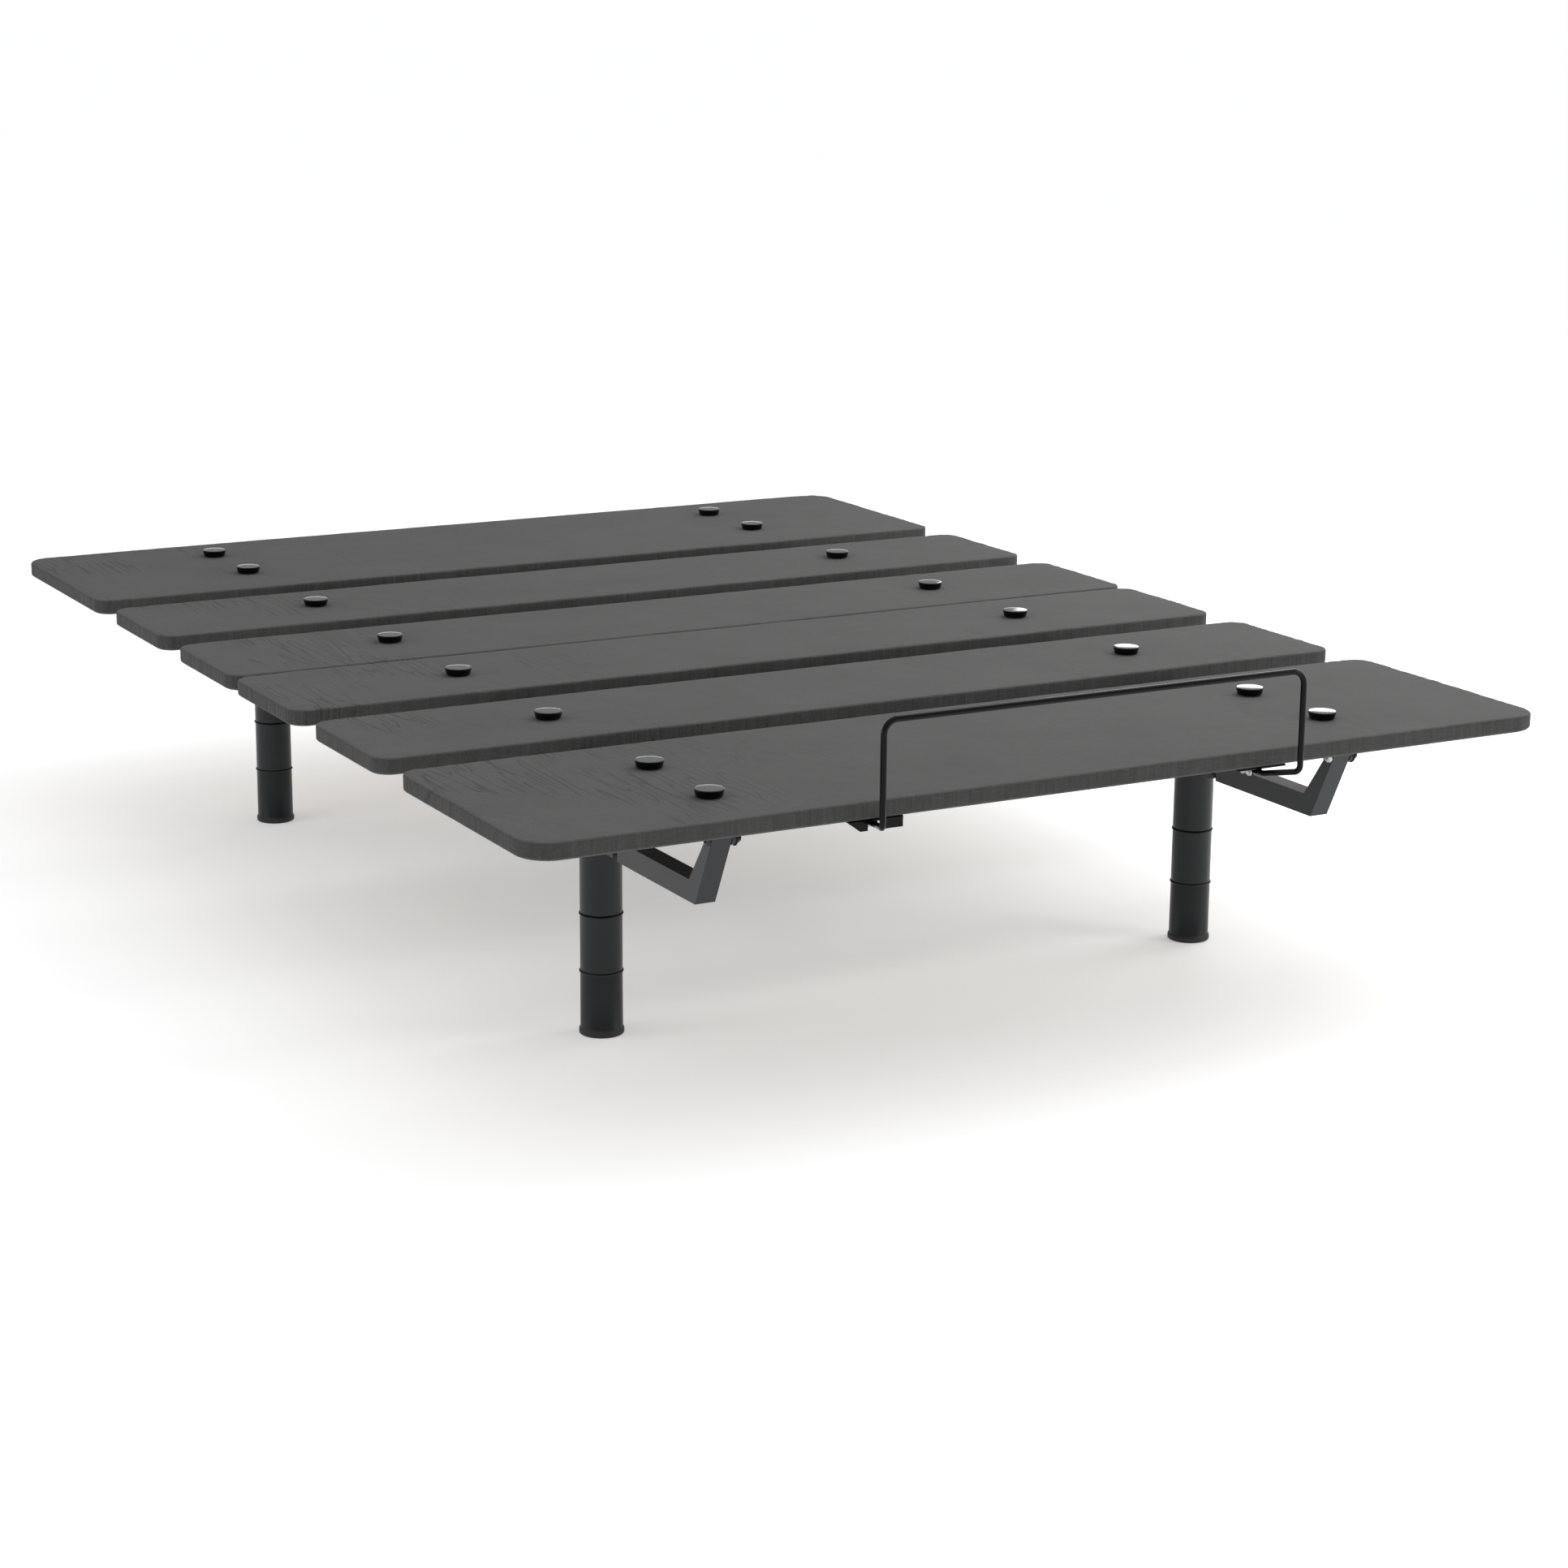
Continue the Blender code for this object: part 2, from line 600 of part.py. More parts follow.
def motor(end, sweep):
    """A linear motor: outer tube, gearbox block and motor can, bored for its rod."""
    front = lever_pin_y(sweep) - TUBE_FRONT
    tail = MOTOR_TAIL + end * CHASSIS_SHIFT - CROSSBAR_REACH
    low, high = MOTOR_Z - MOTOR_HALF, MOTOR_Z + MOTOR_HALF
    body = tube((-MOTOR_HALF, MOTOR_HALF), (tail + TUBE_BACK, front), (low, high), TUBE_EDGE)
    gearbox_x = (-MOTOR_HALF + EAR_SLACK, GEARBOX_SIDE)
    gearbox_y = tuple(tail + reach for reach in GEARBOX_SPAN)
    gearbox = box(gearbox_x, gearbox_y, (low - GEARBOX_DROP, high - GEARBOX_DROP))
    can_y = tuple(tail + reach for reach in MOTOR_CAN_SPAN)
    can = round_bar_y(MOTOR_CAN_X, MOTOR_Z - CLEARANCE, MOTOR_CAN_RADIUS, can_y)
    tail_z = (MOTOR_Z - TAIL_RADIUS, MOTOR_Z + TAIL_RADIUS)
    tail_block = box((-MOTOR_HALF, MOTOR_HALF), (tail, tail + TAIL_DEPTH), tail_z)
    tail_end = disc_x((tail, MOTOR_Z), TAIL_RADIUS, (-MOTOR_HALF, MOTOR_HALF), 16)
    solid = combine(body, [gearbox, can, tail_block, tail_end])
    bore = round_bar_y(0, MOTOR_Z, MOTOR_BORE_RADIUS, (front - ROD_LENGTH, front + CUT_MARGIN))
    return place(combine(solid, [bore], "DIFFERENCE"), end)


def control_box():
    """The power and radio box under the seat, with a recess for the mains inlet."""
    x, y = CONTROL_BOX_X, CONTROL_BOX_Y
    z = (DECK_UNDERSIDE - CONTROL_BOX_DROP, DECK_UNDERSIDE + 5 * CLEARANCE)
    body = tube(x, y, z, CONTROL_BOX_EDGE)
    middle = (y[0] + y[1]) / 2
    inlet_y = (middle - INLET_HALF, middle + INLET_HALF)
    inlet_z = (z[0] + INLET_HEIGHTS[0], z[0] + INLET_HEIGHTS[1])
    inlet = box((x[0] - CUT_MARGIN, x[0] + INLET_DEPTH), inlet_y, inlet_z)
    return combine(body, [inlet], "DIFFERENCE")


# ---------------------------------------------------------------- retainer bar

def rounded_path(points, radii, steps):
    """A path through corner points, with each inner corner turned on an arc."""
    path = [Vector(points[0])]
    for before, corner, after, radius in zip(points, points[1:], points[2:], radii):
        corner = Vector(corner)
        back = (Vector(before) - corner).normalized()
        ahead = (Vector(after) - corner).normalized()
        half = back.angle(ahead) / 2
        reach = radius / math.tan(half)
        centre = corner + (back + ahead).normalized() * (radius / math.sin(half))
        start = (corner + back * reach - centre).normalized()
        stop = (corner + ahead * reach - centre).normalized()
        for i in range(steps + 1):
            path.append(centre + start.slerp(stop, i / steps) * radius)
    path.append(Vector(points[-1]))
    return path


def swept_rod(path, radius, sides):
    """A round rod along a path, with its rings turned as little as possible from one to the next."""
    tangents = []
    for i, point in enumerate(path):
        before = path[max(i - 1, 0)]
        after = path[min(i + 1, len(path) - 1)]
        tangents.append((after - before).normalized())
    normal = tangents[0].orthogonal().normalized()
    rings = []
    for point, tangent in zip(path, tangents):
        normal = (normal - tangent * normal.dot(tangent)).normalized()
        side = tangent.cross(normal)
        ring = []
        for k in range(sides):
            angle = 2 * math.pi * k / sides
            ring.append(point + (normal * math.cos(angle) + side * math.sin(angle)) * radius)
        rings.append(ring)
    return bridge_rings(bmesh.new(), rings)


def retainer():
    """The mattress retainer: a hoop of round bar whose feet turn back under the foot panel."""
    half = RETAINER_HALF_WIDTH
    left = [
        (-CLAMP_X, FOOT_EDGE_Y + 0.042, ROD_SEAT_Z),
        (-CLAMP_X, FOOT_EDGE_Y + 0.004, ROD_SEAT_Z),
        (-half, RETAINER_Y, ROD_SEAT_Z + 0.011),
        (-half, RETAINER_Y, RETAINER_TOP),
    ]
    right = [(-x, y, z) for x, y, z in reversed(left)]
    foot_bends = (RETAINER_ANKLE,) * 2
    radii = foot_bends + (RETAINER_CORNER,) * 2 + foot_bends
    path = rounded_path(left + right, radii, 5)
    return swept_rod(path, ROD_RADIUS, 10)


def retainer_bracket(side):
    """A plate under the foot panel with two cheeks that clamp the retainer's foot."""
    top = DECK_UNDERSIDE - CLEARANCE
    middle = side * CLAMP_X
    plate_x = (middle - CLAMP_PLATE_HALF, middle + CLAMP_PLATE_HALF)
    plate = box(plate_x, (FOOT_EDGE_Y + 0.006, FOOT_EDGE_Y + 0.056), (top - CLAMP_PLATE_THICKNESS, top))
    solids = []
    near = ROD_RADIUS + 0.0005
    for low in (-near - CLAMP_CHEEK, near):
        x = (middle + low, middle + low + CLAMP_CHEEK)
        solids.append(box(x, (FOOT_EDGE_Y + 0.018, FOOT_EDGE_Y + 0.044), (ROD_SEAT_Z - 0.005, top - 0.001)))
    if side < 0:
        low = DECK_UNDERSIDE - 0.0135
        notch = (middle - 0.0135, middle + 0.0060)
        outline = [(middle - 0.042, top), (middle - 0.024, low), (notch[0], low), (notch[0], top - 0.002)]
        outline += [(notch[1], top - 0.002), (notch[1], low), (middle + 0.036, low), (middle + 0.036, top)]
        y = (FOOT_EDGE_Y + 0.003, FOOT_EDGE_Y + 0.0065)
        solids.append(bridge_rings(bmesh.new(), [[(a, b, h) for a, h in outline] for b in y]))
    return combine(plate, solids)


# ---------------------------------------------------------------- legs

def add_legs(body):
    """Each leg is three stacked sections; the lowest ends in a flared glide."""
    bead = LEG_RADIUS + LEG_BEAD
    first, second = LEG_JOINTS
    gap = CLEARANCE
    top = RAIL_BOTTOM - CLEARANCE
    profiles = {
        "lower": (
            (LEG_RADIUS + 0.0005, 0.0),
            (LEG_RADIUS + 0.0022, 0.002),
            (LEG_RADIUS + 0.0022, 0.009),
            (LEG_RADIUS, 0.015),
            (LEG_RADIUS, first - 0.003),
            (bead, first - 0.0018),
            (bead, first - gap),
        ),
        "middle": (
            (LEG_RADIUS, first),
            (LEG_RADIUS, second - 0.003),
            (bead, second - 0.0018),
            (bead, second - gap),
        ),
        "upper": ((LEG_RADIUS, second), (LEG_RADIUS, top)),
    }
    for end_name, end in (("foot", -1), ("head", 1)):
        for side_name, side in (("left", -1), ("right", 1)):
            centre = (side * LEG_X, CHASSIS_SHIFT + end * LEG_REACH)
            for level, profile in profiles.items():
                name = f"leg_{end_name}_{side_name}_{level}"
                body.add(name, turned(profile, centre, 20), "leg", smooth=True)


# ---------------------------------------------------------------- assembly

def add_chassis(body):
    body.add("seat_frame", seat_frame(), "frame")
    for side_name, side in (("left", -1), ("right", 1)):
        body.add(f"side_rail_{side_name}", side_rail(side), "frame")
    for end_name, end in (("foot", -1), ("head", 1)):
        body.add(f"crossbar_{end_name}", crossbar(end), "frame")
    body.add("head_motor", motor(1, BACK_SWEEP), "housing")
    body.add("foot_motor", motor(-1, THIGH_SWEEP), "housing")
    body.add("control_box", control_box(), "housing")


def main():
    clear_scene()
    for name in COLOURS:
        MATERIALS[name] = make_material(name)
    deck = (0.0, -DECK_MIDDLE_Y, 0.0)
    world = Body("world_origin", deck)
    world.empty.location = (0.0, 0.0, 0.0)
    base = Body("base", (0.0, 0.0, 0.0), world)
    bodies = {
        "base": base,
        "back_section": Body("back_section", (0.0, SECTION_HINGE_Y, HINGE_Z), base),
        "thigh_section": Body("thigh_section", (0.0, -SECTION_HINGE_Y, HINGE_Z), base),
        "link_left": Body("link_left", (-RAIL_X, *LINK_PIVOT), base),
        "link_right": Body("link_right", (RAIL_X, *LINK_PIVOT), base),
        "head_rod": Body("head_rod", (MOTOR_X, lever_pin_y(BACK_SWEEP), MOTOR_Z), base),
        "foot_rod": Body("foot_rod", (-MOTOR_X, -lever_pin_y(THIGH_SWEEP), MOTOR_Z), base),
    }
    knee = (0.0, -KNEE_HINGE_Y, HINGE_Z)
    bodies["foot_section"] = Body("foot_section", knee, bodies["thigh_section"])

    add_panels(bodies)
    add_caps(bodies)
    add_legs(base)
    add_chassis(base)
    bodies["back_section"].add("back_frame", back_frame(), "frame")
    bodies["back_section"].add("back_lever", lever(1, BACK_SWEEP), "frame")
    bodies["thigh_section"].add("thigh_frame", thigh_frame(), "frame")
    bodies["thigh_section"].add("thigh_lever", lever(-1, THIGH_SWEEP), "frame")
    bodies["foot_section"].add("foot_frame", foot_frame(), "frame")
    bodies["foot_section"].add("mattress_retainer", retainer(), "rod", smooth=True)
    bodies["foot_section"].add("retainer_bracket_left", retainer_bracket(-1), "frame")
    bodies["foot_section"].add("retainer_bracket_right", retainer_bracket(1), "frame")
    bodies["link_left"].add("lift_link_left", link_solid(-1), "frame")
    bodies["link_right"].add("lift_link_right", link_solid(1), "frame")
    bodies["head_rod"].add("head_motor_rod", motor_rod(1, BACK_SWEEP), "steel")
    bodies["foot_rod"].add("foot_motor_rod", motor_rod(-1, THIGH_SWEEP), "steel")


main()
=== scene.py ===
"""Looks of the adjustable bed base: panels, caps, legs, fasteners, materials, light and camera."""

import json
import math
import random

import bpy
from mathutils import Matrix, Vector, noise

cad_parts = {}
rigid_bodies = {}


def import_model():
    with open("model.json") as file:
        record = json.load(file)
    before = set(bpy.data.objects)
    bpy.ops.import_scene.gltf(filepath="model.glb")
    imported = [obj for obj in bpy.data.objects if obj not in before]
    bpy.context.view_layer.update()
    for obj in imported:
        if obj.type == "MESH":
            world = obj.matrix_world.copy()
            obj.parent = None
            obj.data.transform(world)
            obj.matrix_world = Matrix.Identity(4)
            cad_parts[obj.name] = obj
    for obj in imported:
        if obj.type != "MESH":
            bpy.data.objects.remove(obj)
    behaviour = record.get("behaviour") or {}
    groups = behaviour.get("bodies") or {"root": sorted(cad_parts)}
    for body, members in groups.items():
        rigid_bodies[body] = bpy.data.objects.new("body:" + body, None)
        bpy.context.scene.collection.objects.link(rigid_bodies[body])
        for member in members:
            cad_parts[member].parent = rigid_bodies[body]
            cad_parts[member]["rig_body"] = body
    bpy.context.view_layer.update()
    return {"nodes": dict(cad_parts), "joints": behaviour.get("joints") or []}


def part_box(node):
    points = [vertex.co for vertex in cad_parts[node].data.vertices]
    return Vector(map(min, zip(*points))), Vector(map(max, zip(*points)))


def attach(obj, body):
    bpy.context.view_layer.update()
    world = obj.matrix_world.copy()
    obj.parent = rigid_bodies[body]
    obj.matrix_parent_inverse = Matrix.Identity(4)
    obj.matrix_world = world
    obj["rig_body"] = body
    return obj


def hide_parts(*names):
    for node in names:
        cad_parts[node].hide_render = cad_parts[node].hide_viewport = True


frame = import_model()
NODES = frame["nodes"]
JOINTS = {joint["name"]: joint for joint in frame["joints"]}
MM = 0.001
SIDES = ((-1, "left"), (1, "right"))


# ---------------- camera, light and floor

CAMERA_PLACE = (-2.310, -4.43925, 1.426)
CAMERA_YAW = math.radians(28.669)
CAMERA_PITCH = math.radians(14.274)
CAMERA_ROLL = math.radians(0.453)
CAMERA_LENS = 78.1
FLOOR_REACH = 80.0
FLOOR_Z = -0.2 * MM


def link(made):
    bpy.context.scene.collection.objects.link(made)
    return made


def add_camera():
    """The photograph's viewpoint, from the CAMERA values."""
    data = bpy.data.cameras.new("camera")
    data.lens = CAMERA_LENS
    data.clip_end = 400
    level = math.cos(CAMERA_PITCH)
    ahead = Vector((math.sin(CAMERA_YAW) * level, math.cos(CAMERA_YAW) * level, -math.sin(CAMERA_PITCH)))
    right = Vector((math.cos(CAMERA_YAW), -math.sin(CAMERA_YAW), 0))
    upward = right.cross(ahead)
    turn = Matrix.Rotation(-CAMERA_ROLL, 3, ahead)
    right, upward = turn @ right, turn @ upward
    basis = Matrix((right, upward, -ahead)).transposed().to_4x4()
    camera = bpy.data.objects.new("camera", data)
    camera.matrix_world = Matrix.Translation(CAMERA_PLACE) @ basis
    bpy.context.scene.camera = link(camera)


def feed(tree, socket, value):
    """Links another node's output to a socket, or sets the socket's own value."""
    if isinstance(value, bpy.types.NodeSocket):
        tree.links.new(value, socket)
    else:
        socket.default_value = value


def set_inputs(shader, values):
    for key, value in values.items():
        shader.inputs[key].default_value = value


def add_node(tree, kind, inputs=None, **settings):
    """A shader node with its settings and input values."""
    node = tree.nodes.new("ShaderNode" + kind)
    for key, value in settings.items():
        setattr(node, key, value)
    for key, value in (inputs or {}).items():
        feed(tree, node.inputs[key], value)
    return node


def add_world():
    """A soft studio: bright overhead, dimmer lower down, and white at the horizon and beneath it."""
    world = bpy.data.worlds.new("studio")
    world.use_nodes = True
    tree = world.node_tree
    where = add_node(tree, "TexCoord")
    split = add_node(tree, "SeparateXYZ", {"Vector": where.outputs["Generated"]})
    strength = map_range(tree, split.outputs["Z"], 0.0, 1.0, 0.14, 1.10)
    band = map_range(tree, split.outputs["Z"], 0.05, 0.13, 1.3, 0.0)
    background = tree.nodes["Background"]
    background.inputs["Color"].default_value = (0.985, 0.99, 1.0, 1)
    tree.links.new(calculate(tree, "ADD", strength, band), background.inputs["Strength"])
    bpy.context.scene.world = world
    bpy.context.scene.view_settings.view_transform = "Standard"


def add_area_light(name, place, target, size, power):
    data = bpy.data.lights.new(name, "AREA")
    data.shape = "RECTANGLE"
    data.size, data.size_y = size
    data.energy = power
    light = bpy.data.objects.new(name, data)
    light.location = place
    aim = Vector(target) - Vector(place)
    light.rotation_mode = "QUATERNION"
    light.rotation_quaternion = aim.to_track_quat("-Z", "Y")
    link(light)


def add_lights():
    add_area_light("top_softbox", (2.0, -0.1, 1.9), (0.5, -0.1, 0.4), (1.4, 3.0), 30)
    add_area_light("left_softbox", (-3.8, 0.4, 1.5), (0, 0, 0.2), (2.0, 2.2), 16)
    add_area_light("right_softbox", (2.4, -2.5, 1.2), (0.5, -1.0, 0.3), (1.0, 1.4), 20)
    add_area_light("rim_softbox", (2.9, 2.4, 1.25), (0.3, -0.6, 0.4), (1.4, 1.2), 13)


def add_floor():
    """A pale floor that stays light in the shade, and that a view from beneath sees through."""
    mesh = bpy.data.meshes.new("floor")
    corners = [(x * FLOOR_REACH, y * FLOOR_REACH, FLOOR_Z) for x, y in ((-1, -1), (1, -1), (1, 1), (-1, 1))]
    mesh.from_pydata(corners, [], [(0, 1, 2, 3)])
    material = bpy.data.materials.new("floor_white")
    material.use_nodes = True
    tree = material.node_tree
    shader = tree.nodes["Principled BSDF"]
    set_inputs(shader, {
        "Base Color": (0.85, 0.85, 0.85, 1), "Roughness": 0.75, "Specular IOR Level": 0.1,
        "Emission Color": (0.995, 0.99, 0.985, 1), "Emission Strength": 0.34,
    })
    facing = add_node(tree, "NewGeometry")
    clear = add_node(tree, "BsdfTransparent")
    mix = add_node(tree, "MixShader", {
        0: facing.outputs["Backfacing"], 1: shader.outputs[0], 2: clear.outputs[0],
    })
    tree.links.new(mix.outputs[0], tree.nodes["Material Output"].inputs["Surface"])
    mesh.materials.append(material)
    floor = bpy.data.objects.new("floor", mesh)
    link(floor)


# ---------------- materials

YARN_PITCH = 1.5 * MM


def new_material(name, colour, roughness, metallic=0.0):
    material = bpy.data.materials.new(name)
    material.use_nodes = True
    material.diffuse_color = (*colour, 1)
    tree = material.node_tree
    shader = tree.nodes["Principled BSDF"]
    set_inputs(shader, {"Base Color": (*colour, 1), "Roughness": roughness, "Metallic": metallic})
    return material, tree, shader


def object_place(tree):
    return add_node(tree, "TexCoord").outputs["Object"]


def noise_value(tree, scale, detail=2.0, roughness=0.5, vector=None):
    source = vector if vector is not None else object_place(tree)
    made = add_node(tree, "TexNoise", {
        "Vector": source, "Scale": scale, "Detail": detail, "Roughness": roughness,
    })
    return made.outputs["Fac"]


def stretched(tree, scale):
    """Object coordinates multiplied by a scale for each axis."""
    return add_node(tree, "Mapping", {"Vector": object_place(tree), "Scale": scale}).outputs["Vector"]


def calculate(tree, operation, *values):
    node = add_node(tree, "Math", operation=operation)
    for socket, value in zip(node.inputs, values):
        feed(tree, socket, value)
    return node.outputs[0]


def add(tree, first, second):
    return calculate(tree, "ADD", first, second)


def times(tree, first, second):
    return calculate(tree, "MULTIPLY", first, second)


def minus(tree, first, second):
    return calculate(tree, "SUBTRACT", first, second)


def map_range(tree, value, low, high, to_low, to_high):
    return add_node(tree, "MapRange", {
        "Value": value, "From Min": low, "From Max": high, "To Min": to_low, "To Max": to_high,
    }).outputs["Result"]


def blend_colour(tree, factor, first, second):
    node = add_node(tree, "Mix", data_type="RGBA")
    tree.links.new(factor, node.inputs["Factor"])
    for socket, value in zip((node.inputs[6], node.inputs[7]), (first, second)):
        feed(tree, socket, (*value, 1) if isinstance(value, tuple) else value)
    return node.outputs[2]


def spread(tree, value, to_low, to_high):
    """A noise value's usual span, 0.3 to 0.7, mapped to another one."""
    return map_range(tree, value, 0.3, 0.7, to_low, to_high)


def vary(tree, shader, factor, colour, dark, light):
    """Base colour that runs from a darker to a lighter shade of one colour."""
    mixed = blend_colour(tree, factor, shade(colour, dark), shade(colour, light))
    tree.links.new(mixed, shader.inputs["Base Color"])


def roughen(tree, shader, value, to_low, to_high):
    tree.links.new(spread(tree, value, to_low, to_high), shader.inputs["Roughness"])


def add_bump(tree, shader, height, distance):
    bump = add_node(tree, "Bump", {"Height": height, "Distance": distance, "Strength": 1.0})
    tree.links.new(bump.outputs["Normal"], shader.inputs["Normal"])


def shade(colour, factor):
    return tuple(channel * factor for channel in colour)


def fabric_creases(tree, across):
    """Thin creases that run across a panel in loose groups, mostly near its left end; they dent the cloth and
    also carry painted shade.
    """
    place = add_node(tree, "Mapping", {
        "Vector": object_place(tree), "Rotation": (0, 0, math.radians(-6)), "Scale": (70, 5, 5),
    })
    value = noise_value(tree, 1, 1, 0.4, place.outputs["Vector"])
    line = map_range(tree, calculate(tree, "ABSOLUTE", minus(tree, value, 0.5)), 0.0, 0.022, 1.0, 0.0)
    group = map_range(tree, noise_value(tree, 6.5, 1, 0.4), 0.50, 0.62, 0.0, 1.0)
    end = map_range(tree, across, -0.20, -0.55, 0.15, 1.0)
    return times(tree, line, times(tree, group, end))


def woven_tone(tree, split, weave, speckle, crease_and_shade):
    """Light and dark of the cloth: heathered yarn, slubs, painted shade in the creases, and pale flecks near
    the left end.
    """
    cloudy = noise_value(tree, 9, 3, 0.55)
    slub = noise_value(tree, 1, 3, 0.6, stretched(tree, (60, 420, 420)))
    tone = add(tree, map_range(tree, speckle, 0.25, 0.75, -0.30, 0.30), spread(tree, cloudy, -0.07, 0.07))
    tone = add(tree, tone, spread(tree, slub, -0.10, 0.10))
    tone = add(tree, times(tree, weave, 0.05), add(tree, tone, 0.5))
    flecks = map_range(tree, noise_value(tree, 330, 3, 0.7), 0.56, 0.70, 0.0, 0.5)
    flecks = times(tree, flecks, map_range(tree, split.outputs["X"], -0.58, -0.75, 0.0, 1.0))
    # The creases are darkened in colour as well as dented: painted shade.
    return add(tree, minus(tree, tone, times(tree, crease_and_shade, 0.45)), flecks)


def deck_fabric():
    """Charcoal woven upholstery: plain weave, fine ribs where it is pulled round an edge, and painted shade
    on its upright sides.
    """
    colour = (0.081, 0.0815, 0.079)
    material, tree, shader = new_material("deck_fabric", colour, 0.86)
    split = add_node(tree, "SeparateXYZ", {"Vector": object_place(tree)})
    lengthways = add(tree, split.outputs["Y"], split.outputs["Z"])
    yarn = 2 * math.pi / YARN_PITCH
    warp = calculate(tree, "SINE", times(tree, split.outputs["X"], yarn))
    weft = calculate(tree, "SINE", times(tree, lengthways, yarn))
    weave = times(tree, warp, weft)
    speckle = noise_value(tree, 700, 2, 0.6)
    crease_and_shade = fabric_creases(tree, split.outputs["X"])
    tone = woven_tone(tree, split, weave, speckle, crease_and_shade)
    base = blend_colour(tree, tone, shade(colour, 0.62), shade(colour, 1.38))
    # Painted shade: upright faces are darkened towards black in streaks, as if shaded by their pleats; the
    # same side mask also raises the fine ribs.
    facing = add_node(tree, "SeparateXYZ", {"Vector": add_node(tree, "TexCoord").outputs["Normal"]})
    flatness = calculate(tree, "ABSOLUTE", facing.outputs["Z"])
    sidewall = map_range(tree, flatness, 0.35, 0.85, 1.0, 0.0)
    streaks = spread(tree, noise_value(tree, 1, 3, 0.6, stretched(tree, (150, 150, 9))), 0.44, 0.26)
    shadow = times(tree, sidewall, streaks)
    tree.links.new(blend_colour(tree, shadow, base, (0, 0, 0)), shader.inputs["Base Color"])
    ribs = times(tree, noise_value(tree, 1, 2, 0.6, stretched(tree, (260, 260, 14))), sidewall)
    height = add(tree, times(tree, weave, 0.10), times(tree, speckle, 0.35))
    height = add(tree, height, times(tree, ribs, 2.0))
    height = minus(tree, height, times(tree, crease_and_shade, 1.3))
    add_bump(tree, shader, height, 0.6 * MM)
    set_inputs(shader, {"Sheen Weight": 0.04, "Sheen Roughness": 0.5, "Specular IOR Level": 0.18})
    return material


def plywood():
    """Bare plywood: long grain, pores and faint knots."""
    material, tree, shader = new_material("plywood", (0.33, 0.25, 0.16), 0.62)
    grain_place = stretched(tree, (1.6, 26, 26))
    figure = noise_value(tree, 2.2, 5, 0.62, grain_place)
    pores = noise_value(tree, 1, 2, 0.5, stretched(tree, (40, 900, 900)))
    rings = add_node(tree, "TexWave", {
        "Vector": stretched(tree, (0.35, 3.2, 40)), "Scale": 3.0, "Distortion": 7.0, "Detail": 3.0,
    }, wave_type="BANDS", bands_direction="Y")
    tone = add(tree, times(tree, figure, 0.6), times(tree, rings.outputs["Fac"], 0.35))
    light = blend_colour(tree, tone, (0.22, 0.15, 0.085), (0.47, 0.36, 0.23))
    pore_mask = map_range(tree, pores, 0.58, 0.72, 0.0, 0.5)
    tree.links.new(blend_colour(tree, pore_mask, light, (0.12, 0.075, 0.04)), shader.inputs["Base Color"])
    tree.links.new(map_range(tree, figure, 0.2, 0.8, 0.72, 0.52), shader.inputs["Roughness"])
    add_bump(tree, shader, minus(tree, tone, pore_mask), 0.15 * MM)
    return material


def powder_coat(name, colour, roughness, grain=900, shine=0.3):
    """Baked powder coat: orange peel, a little dust and slightly worn tone."""
    material, tree, shader = new_material(name, colour, roughness)
    set_inputs(shader, {"Specular IOR Level": shine})
    peel = noise_value(tree, grain, 2, 0.5)
    broad = noise_value(tree, 7, 4, 0.6)
    scuffs = noise_value(tree, 1, 4, 0.65, stretched(tree, (30, 90, 160)))
    tone = add(tree, spread(tree, broad, 0.35, 0.65), spread(tree, peel, -0.15, 0.15))
    base = blend_colour(tree, tone, shade(colour, 0.84), shade(colour, 1.16))
    scuff_mask = map_range(tree, scuffs, 0.66, 0.80, 0.0, 0.35)
    tree.links.new(blend_colour(tree, scuff_mask, base, shade(colour, 1.7)), shader.inputs["Base Color"])
    rough = add(tree, spread(tree, broad, roughness - 0.05, roughness + 0.05), times(tree, scuff_mask, 0.3))
    tree.links.new(rough, shader.inputs["Roughness"])
    add_bump(tree, shader, peel, 0.08 * MM)
    return material


def gloss_enamel(name, colour, roughness, shine=0.5):
    """Smooth dark enamel with faint handling marks under a clear coat."""
    material, tree, shader = new_material(name, colour, roughness)
    smear = noise_value(tree, 45, 4, 0.6)
    vary(tree, shader, smear, colour, 0.8, 1.25)
    roughen(tree, shader, smear, roughness - 0.05, roughness + 0.07)
    add_bump(tree, shader, noise_value(tree, 350, 2, 0.5), 0.02 * MM)
    set_inputs(shader, {"Coat Weight": shine, "Specular IOR Level": shine, "Coat Roughness": 0.12})
    return material


def brushed_metal(name, colour, roughness):
    """Plated steel with fine turning marks and dull patches."""
    material, tree, shader = new_material(name, colour, roughness, 1.0)
    patch = noise_value(tree, 60, 4, 0.6)
    marks = noise_value(tree, 1, 2, 0.5, stretched(tree, (300, 300, 2400)))
    vary(tree, shader, patch, colour, 0.8, 1.08)
    roughen(tree, shader, patch, roughness + 0.1, roughness - 0.05)
    add_bump(tree, shader, marks, 0.03 * MM)
    return material


def moulded_plastic(name, colour, roughness):
    """Black moulded housing with a fine spark-eroded texture."""
    material, tree, shader = new_material(name, colour, roughness)
    texture = noise_value(tree, 1500, 2, 0.6)
    broad = noise_value(tree, 12, 3, 0.5)
    vary(tree, shader, broad, colour, 0.85, 1.2)
    roughen(tree, shader, texture, roughness - 0.06, roughness + 0.06)
    add_bump(tree, shader, texture, 0.06 * MM)
    return material


